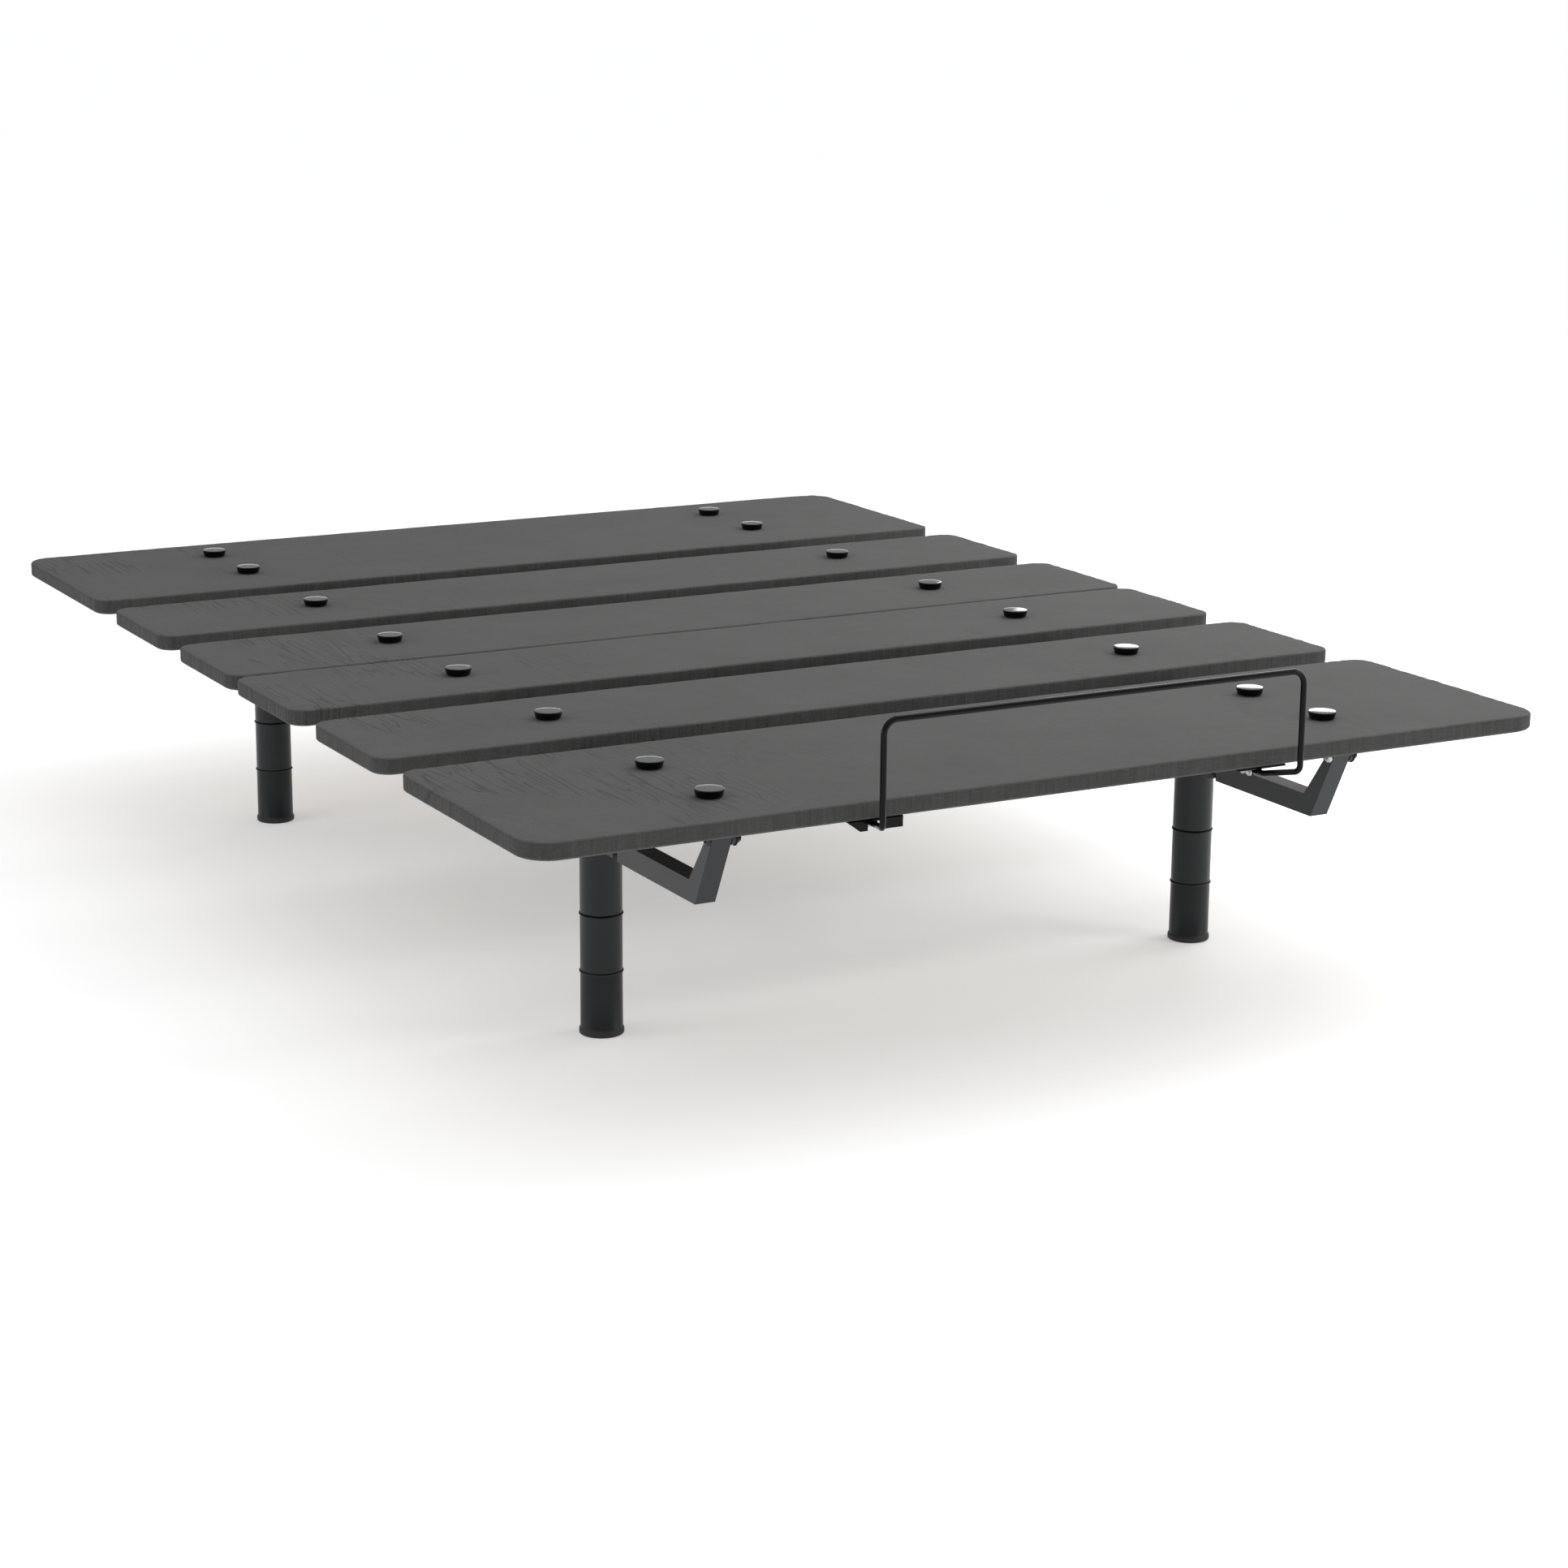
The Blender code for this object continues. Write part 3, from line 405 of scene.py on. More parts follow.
def make_materials():
    return {
        "fabric": deck_fabric(),
        "board": plywood(),
        "frame": powder_coat("frame_coat", (0.028, 0.031, 0.034), 0.38),
        "leg": powder_coat("leg_coat", (0.012, 0.0142, 0.0155), 0.33, 1400, 0.28),
        # A darker copy of the leg coat for the lowest sections: painted shade near the floor, not a different
        # paint.
        "low_leg": powder_coat("low_leg_coat", (0.007, 0.0086, 0.0098), 0.33, 1400, 0.25),
        "leg_ring": powder_coat("leg_ring", (0.004, 0.0045, 0.005), 0.45, 1400, 0.2),
        "retainer": gloss_enamel("retainer_enamel", (0.002, 0.0022, 0.0025), 0.16, 0.1),
        "cap_side": gloss_enamel("cap_side", (0.002, 0.002, 0.0025), 0.22, 0.12),
        "cap_top": gloss_enamel("cap_top", (0.016, 0.018, 0.021), 0.15, 0.6),
        "steel": brushed_metal("bare_steel", (0.62, 0.62, 0.63), 0.28),
        "dark_steel": brushed_metal("blackened_steel", (0.035, 0.036, 0.040), 0.38),
        "housing": moulded_plastic("motor_housing", (0.016, 0.016, 0.018), 0.42),
        "glide": moulded_plastic("glide_rubber", (0.010, 0.010, 0.011), 0.62),
    }


# ---------------- mesh helpers

def add_piece(name, points, faces, materials, body, face_materials=None, sharp_angle=35):
    """A mesh object that rides on a body and carries the given materials."""
    mesh = bpy.data.meshes.new(name)
    mesh.from_pydata([tuple(p) for p in points], [], faces)
    for material in materials:
        mesh.materials.append(material)
    if face_materials is not None:
        mesh.polygons.foreach_set("material_index", face_materials)
    mesh.polygons.foreach_set("use_smooth", [True] * len(mesh.polygons))
    mesh.set_sharp_from_angle(angle=math.radians(sharp_angle))
    mesh.update()
    piece = bpy.data.objects.new(name, mesh)
    link(piece)
    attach(piece, body)
    return piece


class Shape:
    """Points and faces of several closed parts, gathered into one mesh."""

    def __init__(self):
        self.points, self.faces, self.marks = [], [], []

    def rings(self, rings, mark=0):
        """Bridges rings of points and closes both ends; mark is a material index, or one for each band."""
        start, count = len(self.points), len(rings[0])
        for ring in rings:
            self.points += [tuple(p) for p in ring]
        bands = mark if isinstance(mark, (list, tuple)) else [mark] * (len(rings) - 1)
        for band in range(len(rings) - 1):
            low = start + band * count
            for k in range(count):
                after = (k + 1) % count
                self.faces.append((low + k, low + after, low + count + after, low + count + k))
                self.marks.append(bands[band])
        self.faces.append(tuple(start + k for k in reversed(range(count))))
        self.marks.append(bands[0])
        last = start + (len(rings) - 1) * count
        self.faces.append(tuple(last + k for k in range(count)))
        self.marks.append(bands[-1])

    def lathe(self, profile, place, axis=(0, 0, 1), sides=48, mark=0):
        """Turns (radius, height) points round an axis through place."""
        axis = Vector(axis).normalized()
        across = axis.orthogonal().normalized()
        other = axis.cross(across)
        rings = []
        for radius, height in profile:
            ring = []
            for k in range(sides):
                angle = 2 * math.pi * (k + 0.5) / sides
                spoke = across * math.cos(angle) + other * math.sin(angle)
                ring.append(Vector(place) + axis * height + spoke * radius)
            rings.append(ring)
        self.rings(rings, mark)

    def block(self, low, high, edge):
        """A box with chamfered edges."""
        rings = []
        for height, inset in ((low[2], edge), (low[2] + edge, 0.0), (high[2] - edge, 0.0), (high[2], edge)):
            x, y = (low[0] + inset, high[0] - inset), (low[1] + inset, high[1] - inset)
            rings.append([
                (x[0] + edge, y[0], height), (x[1] - edge, y[0], height),
                (x[1], y[0] + edge, height), (x[1], y[1] - edge, height),
                (x[1] - edge, y[1], height), (x[0] + edge, y[1], height),
                (x[0], y[1] - edge, height), (x[0], y[0] + edge, height),
            ])
        self.rings(rings)

    def make(self, name, materials, body, sharp_angle=35):
        return add_piece(name, self.points, self.faces, materials, body, self.marks, sharp_angle)


def fillet(profile, radius, steps=4):
    """A (radius, height) profile with its inner corners rounded."""
    made = [profile[0]]
    for before, corner, after in zip(profile, profile[1:], profile[2:]):
        here = Vector(corner)
        back, ahead = Vector(before) - here, Vector(after) - here
        reach = min(radius, back.length * 0.45, ahead.length * 0.45)
        start, stop = here + back.normalized() * reach, here + ahead.normalized() * reach
        for i in range(steps + 1):
            t = i / steps
            point = start * (1 - t) ** 2 + here * (2 * t * (1 - t)) + stop * t ** 2
            made.append((point.x, point.y))
    made.append(profile[-1])
    return made


# ---------------- upholstered panels

PANELS = (
    ("head", "back_section"), ("back", "back_section"), ("seat_rear", "base"),
    ("seat_front", "base"), ("thigh", "thigh_section"), ("foot", "foot_section"),
)
CAP_NUMBERS = range(1, 17)
MID_CORNER = 28 * MM
END_CORNERS = {"head": (MID_CORNER, 45 * MM), "foot": (44 * MM, MID_CORNER)}
LEAST_CORNER = 2 * MM   # where the outline is drawn in past its corner radius
EDGE_ROLL = 4 * MM
HEM_REACH = 10 * MM
HEM_RISE = 6 * MM
LIP = 38 * MM
LIP_THICKNESS = 1.9 * MM
FABRIC = 3 * MM
GRID_STEP = 4.5 * MM   # between the top's points
ARC_STEPS = 4
STAPLE_GAP = 46 * MM
STAPLE_INSET = 12 * MM


class Outline:
    """A panel's rounded outline, and the same outline drawn in by a distance."""

    def __init__(self, name):
        low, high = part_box(f"deck_cover_{name}")
        self.half, self.low, self.high = high.x, low.y, high.y
        self.bottom, self.top = low.z, high.z
        self.low_corner, self.high_corner = END_CORNERS.get(name, (MID_CORNER, MID_CORNER))
        self.front = self.half - self.low_corner
        self.flank_start = self.front + self.low_corner * math.pi / 2
        self.flank = self.high - self.low - self.low_corner - self.high_corner
        self.back_start = self.flank_start + self.flank + self.high_corner * math.pi / 2
        self.half_perimeter = self.back_start + self.half - self.high_corner

    def radii(self, inset):
        return max(self.low_corner - inset, LEAST_CORNER), max(self.high_corner - inset, LEAST_CORNER)

    def rows(self):
        """Rows across the panel from its low end, each by the part of the flank that it meets."""
        low_radius, high_radius = self.radii(EDGE_ROLL)
        low_steps = math.ceil(low_radius * math.pi / 2 / GRID_STEP)
        high_steps = math.ceil(high_radius * math.pi / 2 / GRID_STEP)
        side_steps = round(self.flank / GRID_STEP)
        made = [("low", math.pi / 2 * i / low_steps) for i in range(low_steps + 1)]
        made += [("side", i / side_steps) for i in range(1, side_steps)]
        return made + [("high", math.pi / 2 * (1 - i / high_steps)) for i in range(high_steps + 1)]

    def flank_place(self, row, inset):
        """Where a row meets the right-hand flank, and the way that the flank faces there."""
        part, value = row
        low_radius, high_radius = self.radii(inset)
        if part == "side":
            start, stop = self.low + inset + low_radius, self.high - inset - high_radius
            return (self.half - inset, start + (stop - start) * value), (1.0, 0.0)
        sign, radius = (-1, low_radius) if part == "low" else (1, high_radius)
        facing = (math.sin(value), sign * math.cos(value))
        middle = self.low + inset + radius if part == "low" else self.high - inset - radius
        return (self.half - inset - radius + facing[0] * radius, middle + facing[1] * radius), facing

    def place(self, station, inset):
        """Where a station of the loop lies on the outline drawn in by inset, and the way it faces."""
        side, value = station
        if side in ("front", "back"):
            (x, y), facing = self.flank_place(("low" if side == "front" else "high", 0.0), inset)
            return (x * value, y), facing
        (x, y), facing = self.flank_place(value, inset)
        return ((x, y), facing) if side == "right" else ((-x, y), (-facing[0], facing[1]))

    def measure(self, x, y):
        """Distance in from the outline, and how far round from the front's middle that place is."""
        side = 1.0 if x >= 0 else -1.0
        across = abs(x)
        low_x, low_y = across - self.half + self.low_corner, self.low + self.low_corner - y
        high_x, high_y = across - self.half + self.high_corner, y - self.high + self.high_corner
        if low_x > 0 and low_y > 0:
            distance = self.low_corner - math.hypot(low_x, low_y)
            along = self.front + self.low_corner * math.atan2(low_x, low_y)
        elif high_x > 0 and high_y > 0:
            distance = self.high_corner - math.hypot(high_x, high_y)
            along = self.flank_start + self.flank + self.high_corner * math.atan2(high_y, high_x)
        else:
            gaps = (y - self.low, self.half - across, self.high - y)
            distance = min(gaps)
            along = (across, self.flank_start - low_y, self.back_start - high_x)[gaps.index(distance)]
        return distance, side * along


def ridged(along, half_perimeter, spacing, seed):
    """Creases that repeat round a closed outline, from 0 in a crease to 1 on a fold."""
    turn = math.pi * along / half_perimeter
    radius = half_perimeter / (math.pi * spacing)
    value = noise.noise(Vector((radius * math.cos(turn), radius * math.sin(turn), seed)))
    return 1 - min(1.0, abs(value) * 2.2)


def folds(outline, along, seed):
    """Fine and broad gathers together, from 0 to 1."""
    fine = ridged(along, outline.half_perimeter, 0.013, seed)
    return 0.55 * fine + 0.45 * ridged(along, outline.half_perimeter, 0.031, seed + 9)


def end_share(outline, x):
    """1 at the panel's left and right ends, fading to 0 within 100 mm."""
    return min(1.0, max(0.0, (abs(x) - outline.half + 0.10) / 0.07))


def wrinkle_lines(seed, half, low, high):
    """Soft folds across the left and right ends of a panel: middle, heading, half length and depth."""
    dice = random.Random(seed)
    lines = []
    for side in (-1, 1):
        for _ in range(7 if side < 0 else 4):
            x = side * (half - dice.uniform(0.03, 0.42))
            y = dice.uniform(low + 0.02, high - 0.02)
            heading = math.radians(dice.uniform(84, 108))
            lines.append((x, y, heading, dice.uniform(0.04, 0.12), dice.uniform(0.25, 0.6) * MM))
    return lines


def crease_depth(x, y, lines):
    depth = 0.0
    for cx, cy, heading, length, size in lines:
        dx, dy = x - cx, y - cy
        along = dx * math.cos(heading) + dy * math.sin(heading)
        if abs(along) > length:
            continue
        across = dy * math.cos(heading) - dx * math.sin(heading) + 0.012 * math.sin(along * 30 + cx * 50)
        if abs(across) > 0.02:
            continue
        fade = (1 - (along / length) ** 2) ** 2
        depth += size * fade * math.exp(-((across / 0.0045) ** 2))
    return depth


def cap_dimple(x, y, caps):
    """Fabric drawn down under a cap, and puckered beside it."""
    depth = 0.0
    for cx, cy in caps:
        distance = math.hypot(x - cx, y - cy)
        if distance < 0.09:
            depth += 0.9 * MM * math.exp(-((distance / 0.028) ** 2))
            angle = math.atan2(y - cy, x - cx)
            pucker = max(0.0, math.sin(angle * 9 + cx * 40)) ** 3
            depth += 0.35 * MM * pucker * math.exp(-(((distance - 0.035) / 0.018) ** 2))
    return depth


def top_relief(outline, x, y, seed, lines, caps):
    """Height of the fabric's top over its flat plane."""
    inside, along = outline.measure(x, y)
    swell = 0.55 * MM * noise.noise(Vector((x * 7, y * 9, seed)))
    swell += 0.16 * MM * noise.noise(Vector((x * 45, y * 38, seed + 5.3)))
    near = math.exp(-inside / 0.018)
    gathers = near * (0.35 + 0.9 * end_share(outline, x)) * MM * folds(outline, along, seed)
    return swell - gathers - crease_depth(x, y, lines) - cap_dimple(x, y, caps) - 0.4 * MM


def cover_section(outline):
    """The fabric's section from the top's edge to its inside: inset, height, pleats, share of top relief."""
    section, bottom = [], outline.bottom
    shares = [i / ARC_STEPS for i in range(1, ARC_STEPS + 1)]
    for share in shares:
        sine, cosine = math.sin(math.pi / 2 * share), math.cos(math.pi / 2 * share)
        section.append((EDGE_ROLL * (1 - sine), outline.top - EDGE_ROLL * (1 - cosine), sine, cosine))
    wall_top, wall_bottom = outline.top - EDGE_ROLL, bottom + HEM_RISE
    section += [(0.0, wall_top + (wall_bottom - wall_top) * share, 1.0, 0.0) for share in shares]
    for share in shares:
        sine, cosine = math.sin(math.pi / 2 * share), math.cos(math.pi / 2 * share)
        section.append((HEM_REACH * (1 - cosine), bottom + HEM_RISE * (1 - sine), 0.6 * cosine ** 2, 0.0))
    section += [(HEM_REACH + (LIP - HEM_REACH) * share, bottom, 0.0, 0.0) for share in shares]
    section.append((LIP + 0.8 * MM, bottom + LIP_THICKNESS / 2, 0.0, 0.0))
    section.append((LIP, bottom + LIP_THICKNESS, 0.0, 0.0))
    section.append((FABRIC, bottom + LIP_THICKNESS, 0.0, 0.0))
    section.append((FABRIC, outline.top - FABRIC, 0.0, 0.0))
    return section


def cover_shape(name, seed, caps):
    """One panel's fabric: a puckered top, pleated sides, and a hem turned in under the board."""
    outline = Outline(name)
    rows = outline.rows()
    columns = 2 * round((outline.half - EDGE_ROLL) / GRID_STEP)
    shares = [2 * j / columns - 1 for j in range(columns + 1)]
    lines = wrinkle_lines(seed, outline.half, outline.low, outline.high)
    points, faces, grid = [], [], []
    for row in rows:
        (reach, y), _ = outline.flank_place(row, EDGE_ROLL)
        grid.append(range(len(points), len(points) + columns + 1))
        for share in shares:
            x = reach * share
            points.append(Vector((x, y, outline.top + top_relief(outline, x, y, seed, lines, caps))))
    for near, far in zip(grid, grid[1:]):
        for j in range(columns):
            faces.append((near[j], near[j + 1], far[j + 1], far[j]))

    loop = [(grid[0][j], ("front", shares[j])) for j in range(1, columns)]
    loop += [(line[-1], ("right", row)) for line, row in zip(grid, rows)]
    loop += [(grid[-1][j], ("back", shares[j])) for j in range(columns - 1, 0, -1)]
    loop += [(line[0], ("left", row)) for line, row in zip(reversed(grid), reversed(rows))]
    pleats = []
    for index, station in loop:
        (x, y), _ = outline.place(station, 0.0)
        depth = (0.45 + 0.55 * end_share(outline, x)) * folds(outline, outline.measure(x, y)[1], seed)
        wave = 0.4 * noise.noise(Vector((x * 12, y * 12, seed + 2)))
        pleats.append((station, (0.3 + depth - wave) * MM, points[index].z - outline.top))
    previous = [index for index, _ in loop]
    count = len(loop)
    for inset, height, pleating, relief in cover_section(outline):
        ring = range(len(points), len(points) + count)
        for station, depth, rise in pleats:
            (x, y), facing = outline.place(station, inset)
            push = -depth * pleating
            points.append(Vector((x + facing[0] * push, y + facing[1] * push, height + rise * relief)))
        for k in range(count):
            after = (k + 1) % count
            faces.append((previous[after], previous[k], ring[k], ring[after]))
        previous = ring
    faces.append(tuple(reversed(previous)))
    return points, faces


def add_covers(materials):
    boxes = [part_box(f"bolt_cap_{number:02d}") for number in CAP_NUMBERS]
    caps = [tuple((low + high).xy / 2) for low, high in boxes]
    for seed, (name, body) in enumerate(PANELS, start=3):
        points, faces = cover_shape(name, seed * 1.7, caps)
        cover = add_piece(f"cover_{name}", points, faces, [materials["fabric"]], body,
                          sharp_angle=60)
        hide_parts(f"deck_cover_{name}")


def staple(shape, middle, heading):
    """One staple: a low crown along the heading, its two ends bent into the board."""
    along = Vector((math.cos(heading), math.sin(heading), 0)) * 5.5 * MM
    across = Vector((-math.sin(heading), math.cos(heading), 0)) * 0.5 * MM
    up = Vector((0, 0, 0.4 * MM))
    rings = []
    for offset, lift in ((-1.0, 0.6), (-0.92, -0.15), (0.92, -0.15), (1.0, 0.6)):
        centre = middle + along * offset + Vector((0, 0, lift * MM))
        rings.append([centre + step for step in (-across - up, across - up, across + up, up - across)])
    shape.rings(rings)


def add_staples(materials):
    """Staples that hold the turned-in hem to the underside of each board."""
    dice = random.Random(11)
    line = LIP - STAPLE_INSET
    for name, body in PANELS:
        low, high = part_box(f"deck_cover_{name}")
        places = []
        for y in (low.y + line, high.y - line):
            count = int((high.x - low.x - 2 * LIP) / STAPLE_GAP)
            places += [(low.x + LIP + STAPLE_GAP * (i + 0.5), y, 0) for i in range(count)]
        for x in (low.x + line, high.x - line):
            count = int((high.y - low.y - 2 * LIP) / STAPLE_GAP)
            places += [(x, low.y + LIP + STAPLE_GAP * (i + 0.5), 90) for i in range(count)]
        shape = Shape()
        for x, y, turn in places:
            staple(shape, Vector((x, y, low.z)), math.radians(turn + dice.uniform(-14, 14)))
        shape.make(f"staples_{name}", [materials["steel"]], body)


# ---------------- caps

def add_caps(materials):
    """Round caps: a glossy cup that narrows downwards, with a dark domed top set in its rim."""
    for number in CAP_NUMBERS:
        node = f"bolt_cap_{number:02d}"
        low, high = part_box(node)
        centre = (low + high) / 2
        radius, height = (high.x - low.x) / 2 + 0.6 * MM, high.z - low.z
        cup = [
            (0.5 * MM, 0.0), (radius - 2.6 * MM, 0.0), (radius - 2.0 * MM, 0.6 * MM),
            (radius - 0.2 * MM, height - 2.9 * MM), (radius, height - 2.3 * MM),
            (radius - 0.3 * MM, height - 1.6 * MM), (radius - 0.9 * MM, height - 1.3 * MM),
        ]
        edge = radius - 1.1 * MM
        top = [(edge, height - 1.25 * MM)]
        for i in range(1, 10):
            share = 1 - i / 10
            top.append((edge * share, height - 0.1 * MM - 1.1 * MM * share ** 3))
        top.append((0.4 * MM, height - 0.1 * MM))
        shape = Shape()
        profile = fillet(cup, 0.5 * MM, 3)
        marks = [0] * len(profile) + [1] * (len(top) - 1)
        place = (centre.x, centre.y, low.z)
        shape.lathe(profile + top, place, sides=56, mark=marks)
        cap = shape.make(f"cap_{number:02d}", [materials["cap_side"], materials["cap_top"]],
                         NODES[node]["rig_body"], 50)
        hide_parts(node)


# ---------------- legs

LEG_RADIUS = 28 * MM
LEG_BORE = 4 * MM
BEAD_DROP = 2.6 * MM
BEAD_PROUD = 1.5 * MM


def leg_profile(low, high, level):
    """(radius, height) points of one leg section and the material of each band."""
    if level == "lower":
        foot = [(LEG_BORE, 0.0), (LEG_RADIUS + 0.4 * MM, 0.0), (LEG_RADIUS + 1.9 * MM, 1.4 * MM),
                (LEG_RADIUS + 1.9 * MM, 7.0 * MM), (LEG_RADIUS + 0.5 * MM, 9.5 * MM)]
        profile = fillet(foot, 1.2 * MM)
        marks = [1] * len(profile)
        profile += [(LEG_RADIUS + 0.2 * MM, 10 * MM)]
    else:
        profile = [(LEG_BORE, low), (LEG_RADIUS - 0.5 * MM, low), (LEG_RADIUS, low + 0.4 * MM)]
        marks = [0, 0]
    if level == "upper":
        profile += [(LEG_RADIUS, high - 0.4 * MM), (LEG_RADIUS - 0.4 * MM, high), (LEG_BORE, high)]
        return profile, marks + [0] * 3
    start = high - BEAD_DROP
    profile.append((LEG_RADIUS, start - 0.3 * MM))
    marks.append(0)
    for i in range(7):
        angle = math.pi * i / 6
        profile.append((LEG_RADIUS + BEAD_PROUD * math.sin(angle), start + 1.1 * MM * (1 - math.cos(angle))))
        marks.append(1)
    return profile + [(LEG_BORE, high)], marks + [1]


def add_legs(materials):
    for end in ("foot", "head"):
        for side in ("left", "right"):
            for level in ("lower", "middle", "upper"):
                node = f"leg_{end}_{side}_{level}"
                low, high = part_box(node)
                centre = (low + high) / 2
                profile, marks = leg_profile(low.z, high.z, level)
                shape = Shape()
                shape.lathe(profile, (centre.x, centre.y, 0), sides=72, mark=marks)
                # The lowest sections take the darker copy of the coat: painted shade near the floor.
                coat = materials["low_leg" if level == "lower" else "leg"]
                trim = materials["glide" if level == "lower" else "leg_ring"]
                leg = shape.make(f"leg_tube_{end}_{side}_{level}", [coat, trim], "base", 40)
                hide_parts(node)


# ---------------- mattress retainer

ROD_RADIUS = 4 * MM


def rounded_path(points, radii, steps):
    """A path through corner points, with each inner corner turned on an arc."""
    path = [Vector(points[0])]
    for before, corner, after, radius in zip(points, points[1:], points[2:], radii):
        corner = Vector(corner)
        back = (Vector(before) - corner).normalized()
        ahead = (Vector(after) - corner).normalized()
        half = back.angle(ahead) / 2
        reach = radius / math.tan(half)
        centre = corner + (back + ahead).normalized() * (radius / math.sin(half))
        start = (corner + back * reach - centre).normalized()
        stop = (corner + ahead * reach - centre).normalized()
        for i in range(steps + 1):
            path.append(centre + start.slerp(stop, i / steps) * radius)
    path.append(Vector(points[-1]))
    return path


def sweep(shape, path, radius, sides=24):
    """A round rod along a path, its ends slightly domed."""
    tangents = []
    for i in range(len(path)):
        before, after = path[max(i - 1, 0)], path[min(i + 1, len(path) - 1)]
        tangents.append((after - before).normalized())
    normal = tangents[0].orthogonal().normalized()
    stations = [(path[0], tangents[0], radius * 0.75)]
    stations += [(p, t, radius) for p, t in zip(path, tangents)]
    stations[1] = (path[0] + tangents[0] * radius * 0.2, tangents[0], radius)
    stations[-1] = (path[-1] - tangents[-1] * radius * 0.2, tangents[-1], radius)
    stations.append((path[-1], tangents[-1], radius * 0.75))
    rings = []
    for point, tangent, size in stations:
        normal = (normal - tangent * normal.dot(tangent)).normalized()
        side = tangent.cross(normal)
        rings.append([
            point + (normal * math.cos(a) + side * math.sin(a)) * size
            for a in (2 * math.pi * k / sides for k in range(sides))
        ])
    shape.rings(rings)


def add_retainer(materials):
    low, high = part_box("mattress_retainer")
    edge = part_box("deck_cover_foot")[0].y
    plate_low, plate_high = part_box("retainer_bracket_right")
    clamp = (plate_low.x + plate_high.x) / 2
    half, seat, top, back = high.x - ROD_RADIUS, low.z + ROD_RADIUS, high.z - ROD_RADIUS, low.y + ROD_RADIUS
    left = [(-clamp, high.y, seat), (-clamp, edge + 4 * MM, seat),
            (-half, back, seat + 11 * MM), (-half, back, top)]
    right = [(-x, y, z) for x, y, z in reversed(left)]
    radii = [r * MM for r in (10, 10, 18, 18, 10, 10)]
    shape = Shape()
    sweep(shape, rounded_path(left + right, radii, 12), ROD_RADIUS)
    rod = shape.make("retainer_hoop", [materials["retainer"]], "foot_section")
    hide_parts("mattress_retainer")
    for side, word in SIDES:
        for reach in (22, 36):
            place = (side * clamp - 9 * MM, edge + reach * MM, seat)
            add_bolt(f"clamp_bolt_{word}_{reach}", place, (-1, 0, 0), 4.2 * MM, 3 * MM,
                     "foot_section", materials["steel"])


# ---------------- fasteners

# Half widths of the frames' tubes and of the chassis rails, and the middles of the ones at the sides.
HALF_TUBE = 12.5 * MM
FRAME_X = (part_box("back_frame")[1].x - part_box("back_frame")[0].x) / 2 - HALF_TUBE
RAIL_HALF = (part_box("side_rail_right")[1].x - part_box("side_rail_right")[0].x) / 2
RAIL_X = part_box("side_rail_right")[1].x - RAIL_HALF
# The swing link's half width, the place (y, z) of its top pin, and the lug's outer face from its middle.
LINK_HALF = 14 * MM
LINK_PIN = (-0.90575, 0.343)
LUG_OUTSIDE = 20.6 * MM
# The outer face of a motor's tail lugs from its middle, and half the width of its rod's fork, which is
# also how far the fork's pin sits back from the rod's end.
MOTOR_LUG = 25.6 * MM
FORK_HALF = 10.5 * MM
# How far a fastener sinks into the face it sits on.
SUNK = 0.4 * MM
WASHER = 1.0 * MM
WELD_RADIUS = 1.5 * MM
WELD_STEP = 1.2 * MM
PLUG_INSET = 2 * MM
PLUG_PROUD = 1.6 * MM
FOOT_ROW = -868.75
# Each frame, its body, and the middles of its cross tubes in millimetres along the bed.
FRAME_ROWS = (
    ("seat_frame", "base", (-199.25, 248.75)),
    ("back_frame", "back_section", (341.75, 600.25, 942.05)),
    ("thigh_frame", "thigh_section", (-507.25, -292.25)),
    ("foot_frame", "foot_section", (FOOT_ROW, -709.75, -594.25)),
)


def add_bolt(name, place, axis, radius, height, body, material):
    """A hexagon head on a washer, standing on a face at place and pointing along axis."""
    shape = Shape()
    start = WASHER
    disc = [(radius * 0.5, -SUNK), (radius * 1.45, -SUNK), (radius * 1.45, start), (radius * 0.5, start)]
    shape.lathe(fillet(disc, 0.3 * MM, 2), place, axis, 36)
    head = [(radius * 0.6, start - SUNK), (radius, start - SUNK), (radius, start + height * 0.82),
            (radius * 0.86, start + height), (radius * 0.3, start + height)]
    shape.lathe(head, place, axis, 6)
    end = start + height
    crown = [(radius * 0.80, start + height * 0.8), (radius * 0.80, end + 0.2 * MM),
             (radius * 0.62, end + 0.45 * MM), (0.3 * MM, end + 0.5 * MM)]
    shape.lathe(crown, place, axis, 36)
    return shape.make(name, [material], body)


def add_button_head(name, place, axis, radius, height, body, material):
    """A domed head with a hexagon socket."""
    shape = Shape()
    profile = [(0.4 * MM, -SUNK), (radius, -SUNK), (radius, height * 0.25)]
    for i in range(1, 7):
        angle = math.pi / 2 * i / 7
        profile.append((radius * math.cos(angle * 0.75), height * (0.25 + 0.75 * math.sin(angle))))
    profile += [(radius * 0.42, height), (radius * 0.38, height * 0.45), (0.4 * MM, height * 0.42)]
    shape.lathe(profile, place, axis, 42)
    return shape.make(name, [material], body, 45)


def add_hinge_fasteners(materials):
    """A domed bolt head outside and a nut inside each hinge pair."""
    reach = 10.8 * MM
    hinges = (("back_lift", "head", "back_section"), ("thigh_lift", "thigh", "thigh_section"),
              ("foot_fold", "knee", "thigh_section"))
    for joint, label, body in hinges:
        _, y, z = JOINTS[joint]["pos_m"]
        for side, word in SIDES:
            middle = side * FRAME_X
            add_button_head(f"hinge_bolt_{label}_{word}", (middle + side * reach, y, z), (side, 0, 0),
                            8.5 * MM, 4.5 * MM, body, materials["dark_steel"])
            add_bolt(f"hinge_nut_{label}_{word}", (middle - side * reach, y, z), (-side, 0, 0),
                     7.5 * MM, 6 * MM, body, materials["dark_steel"])


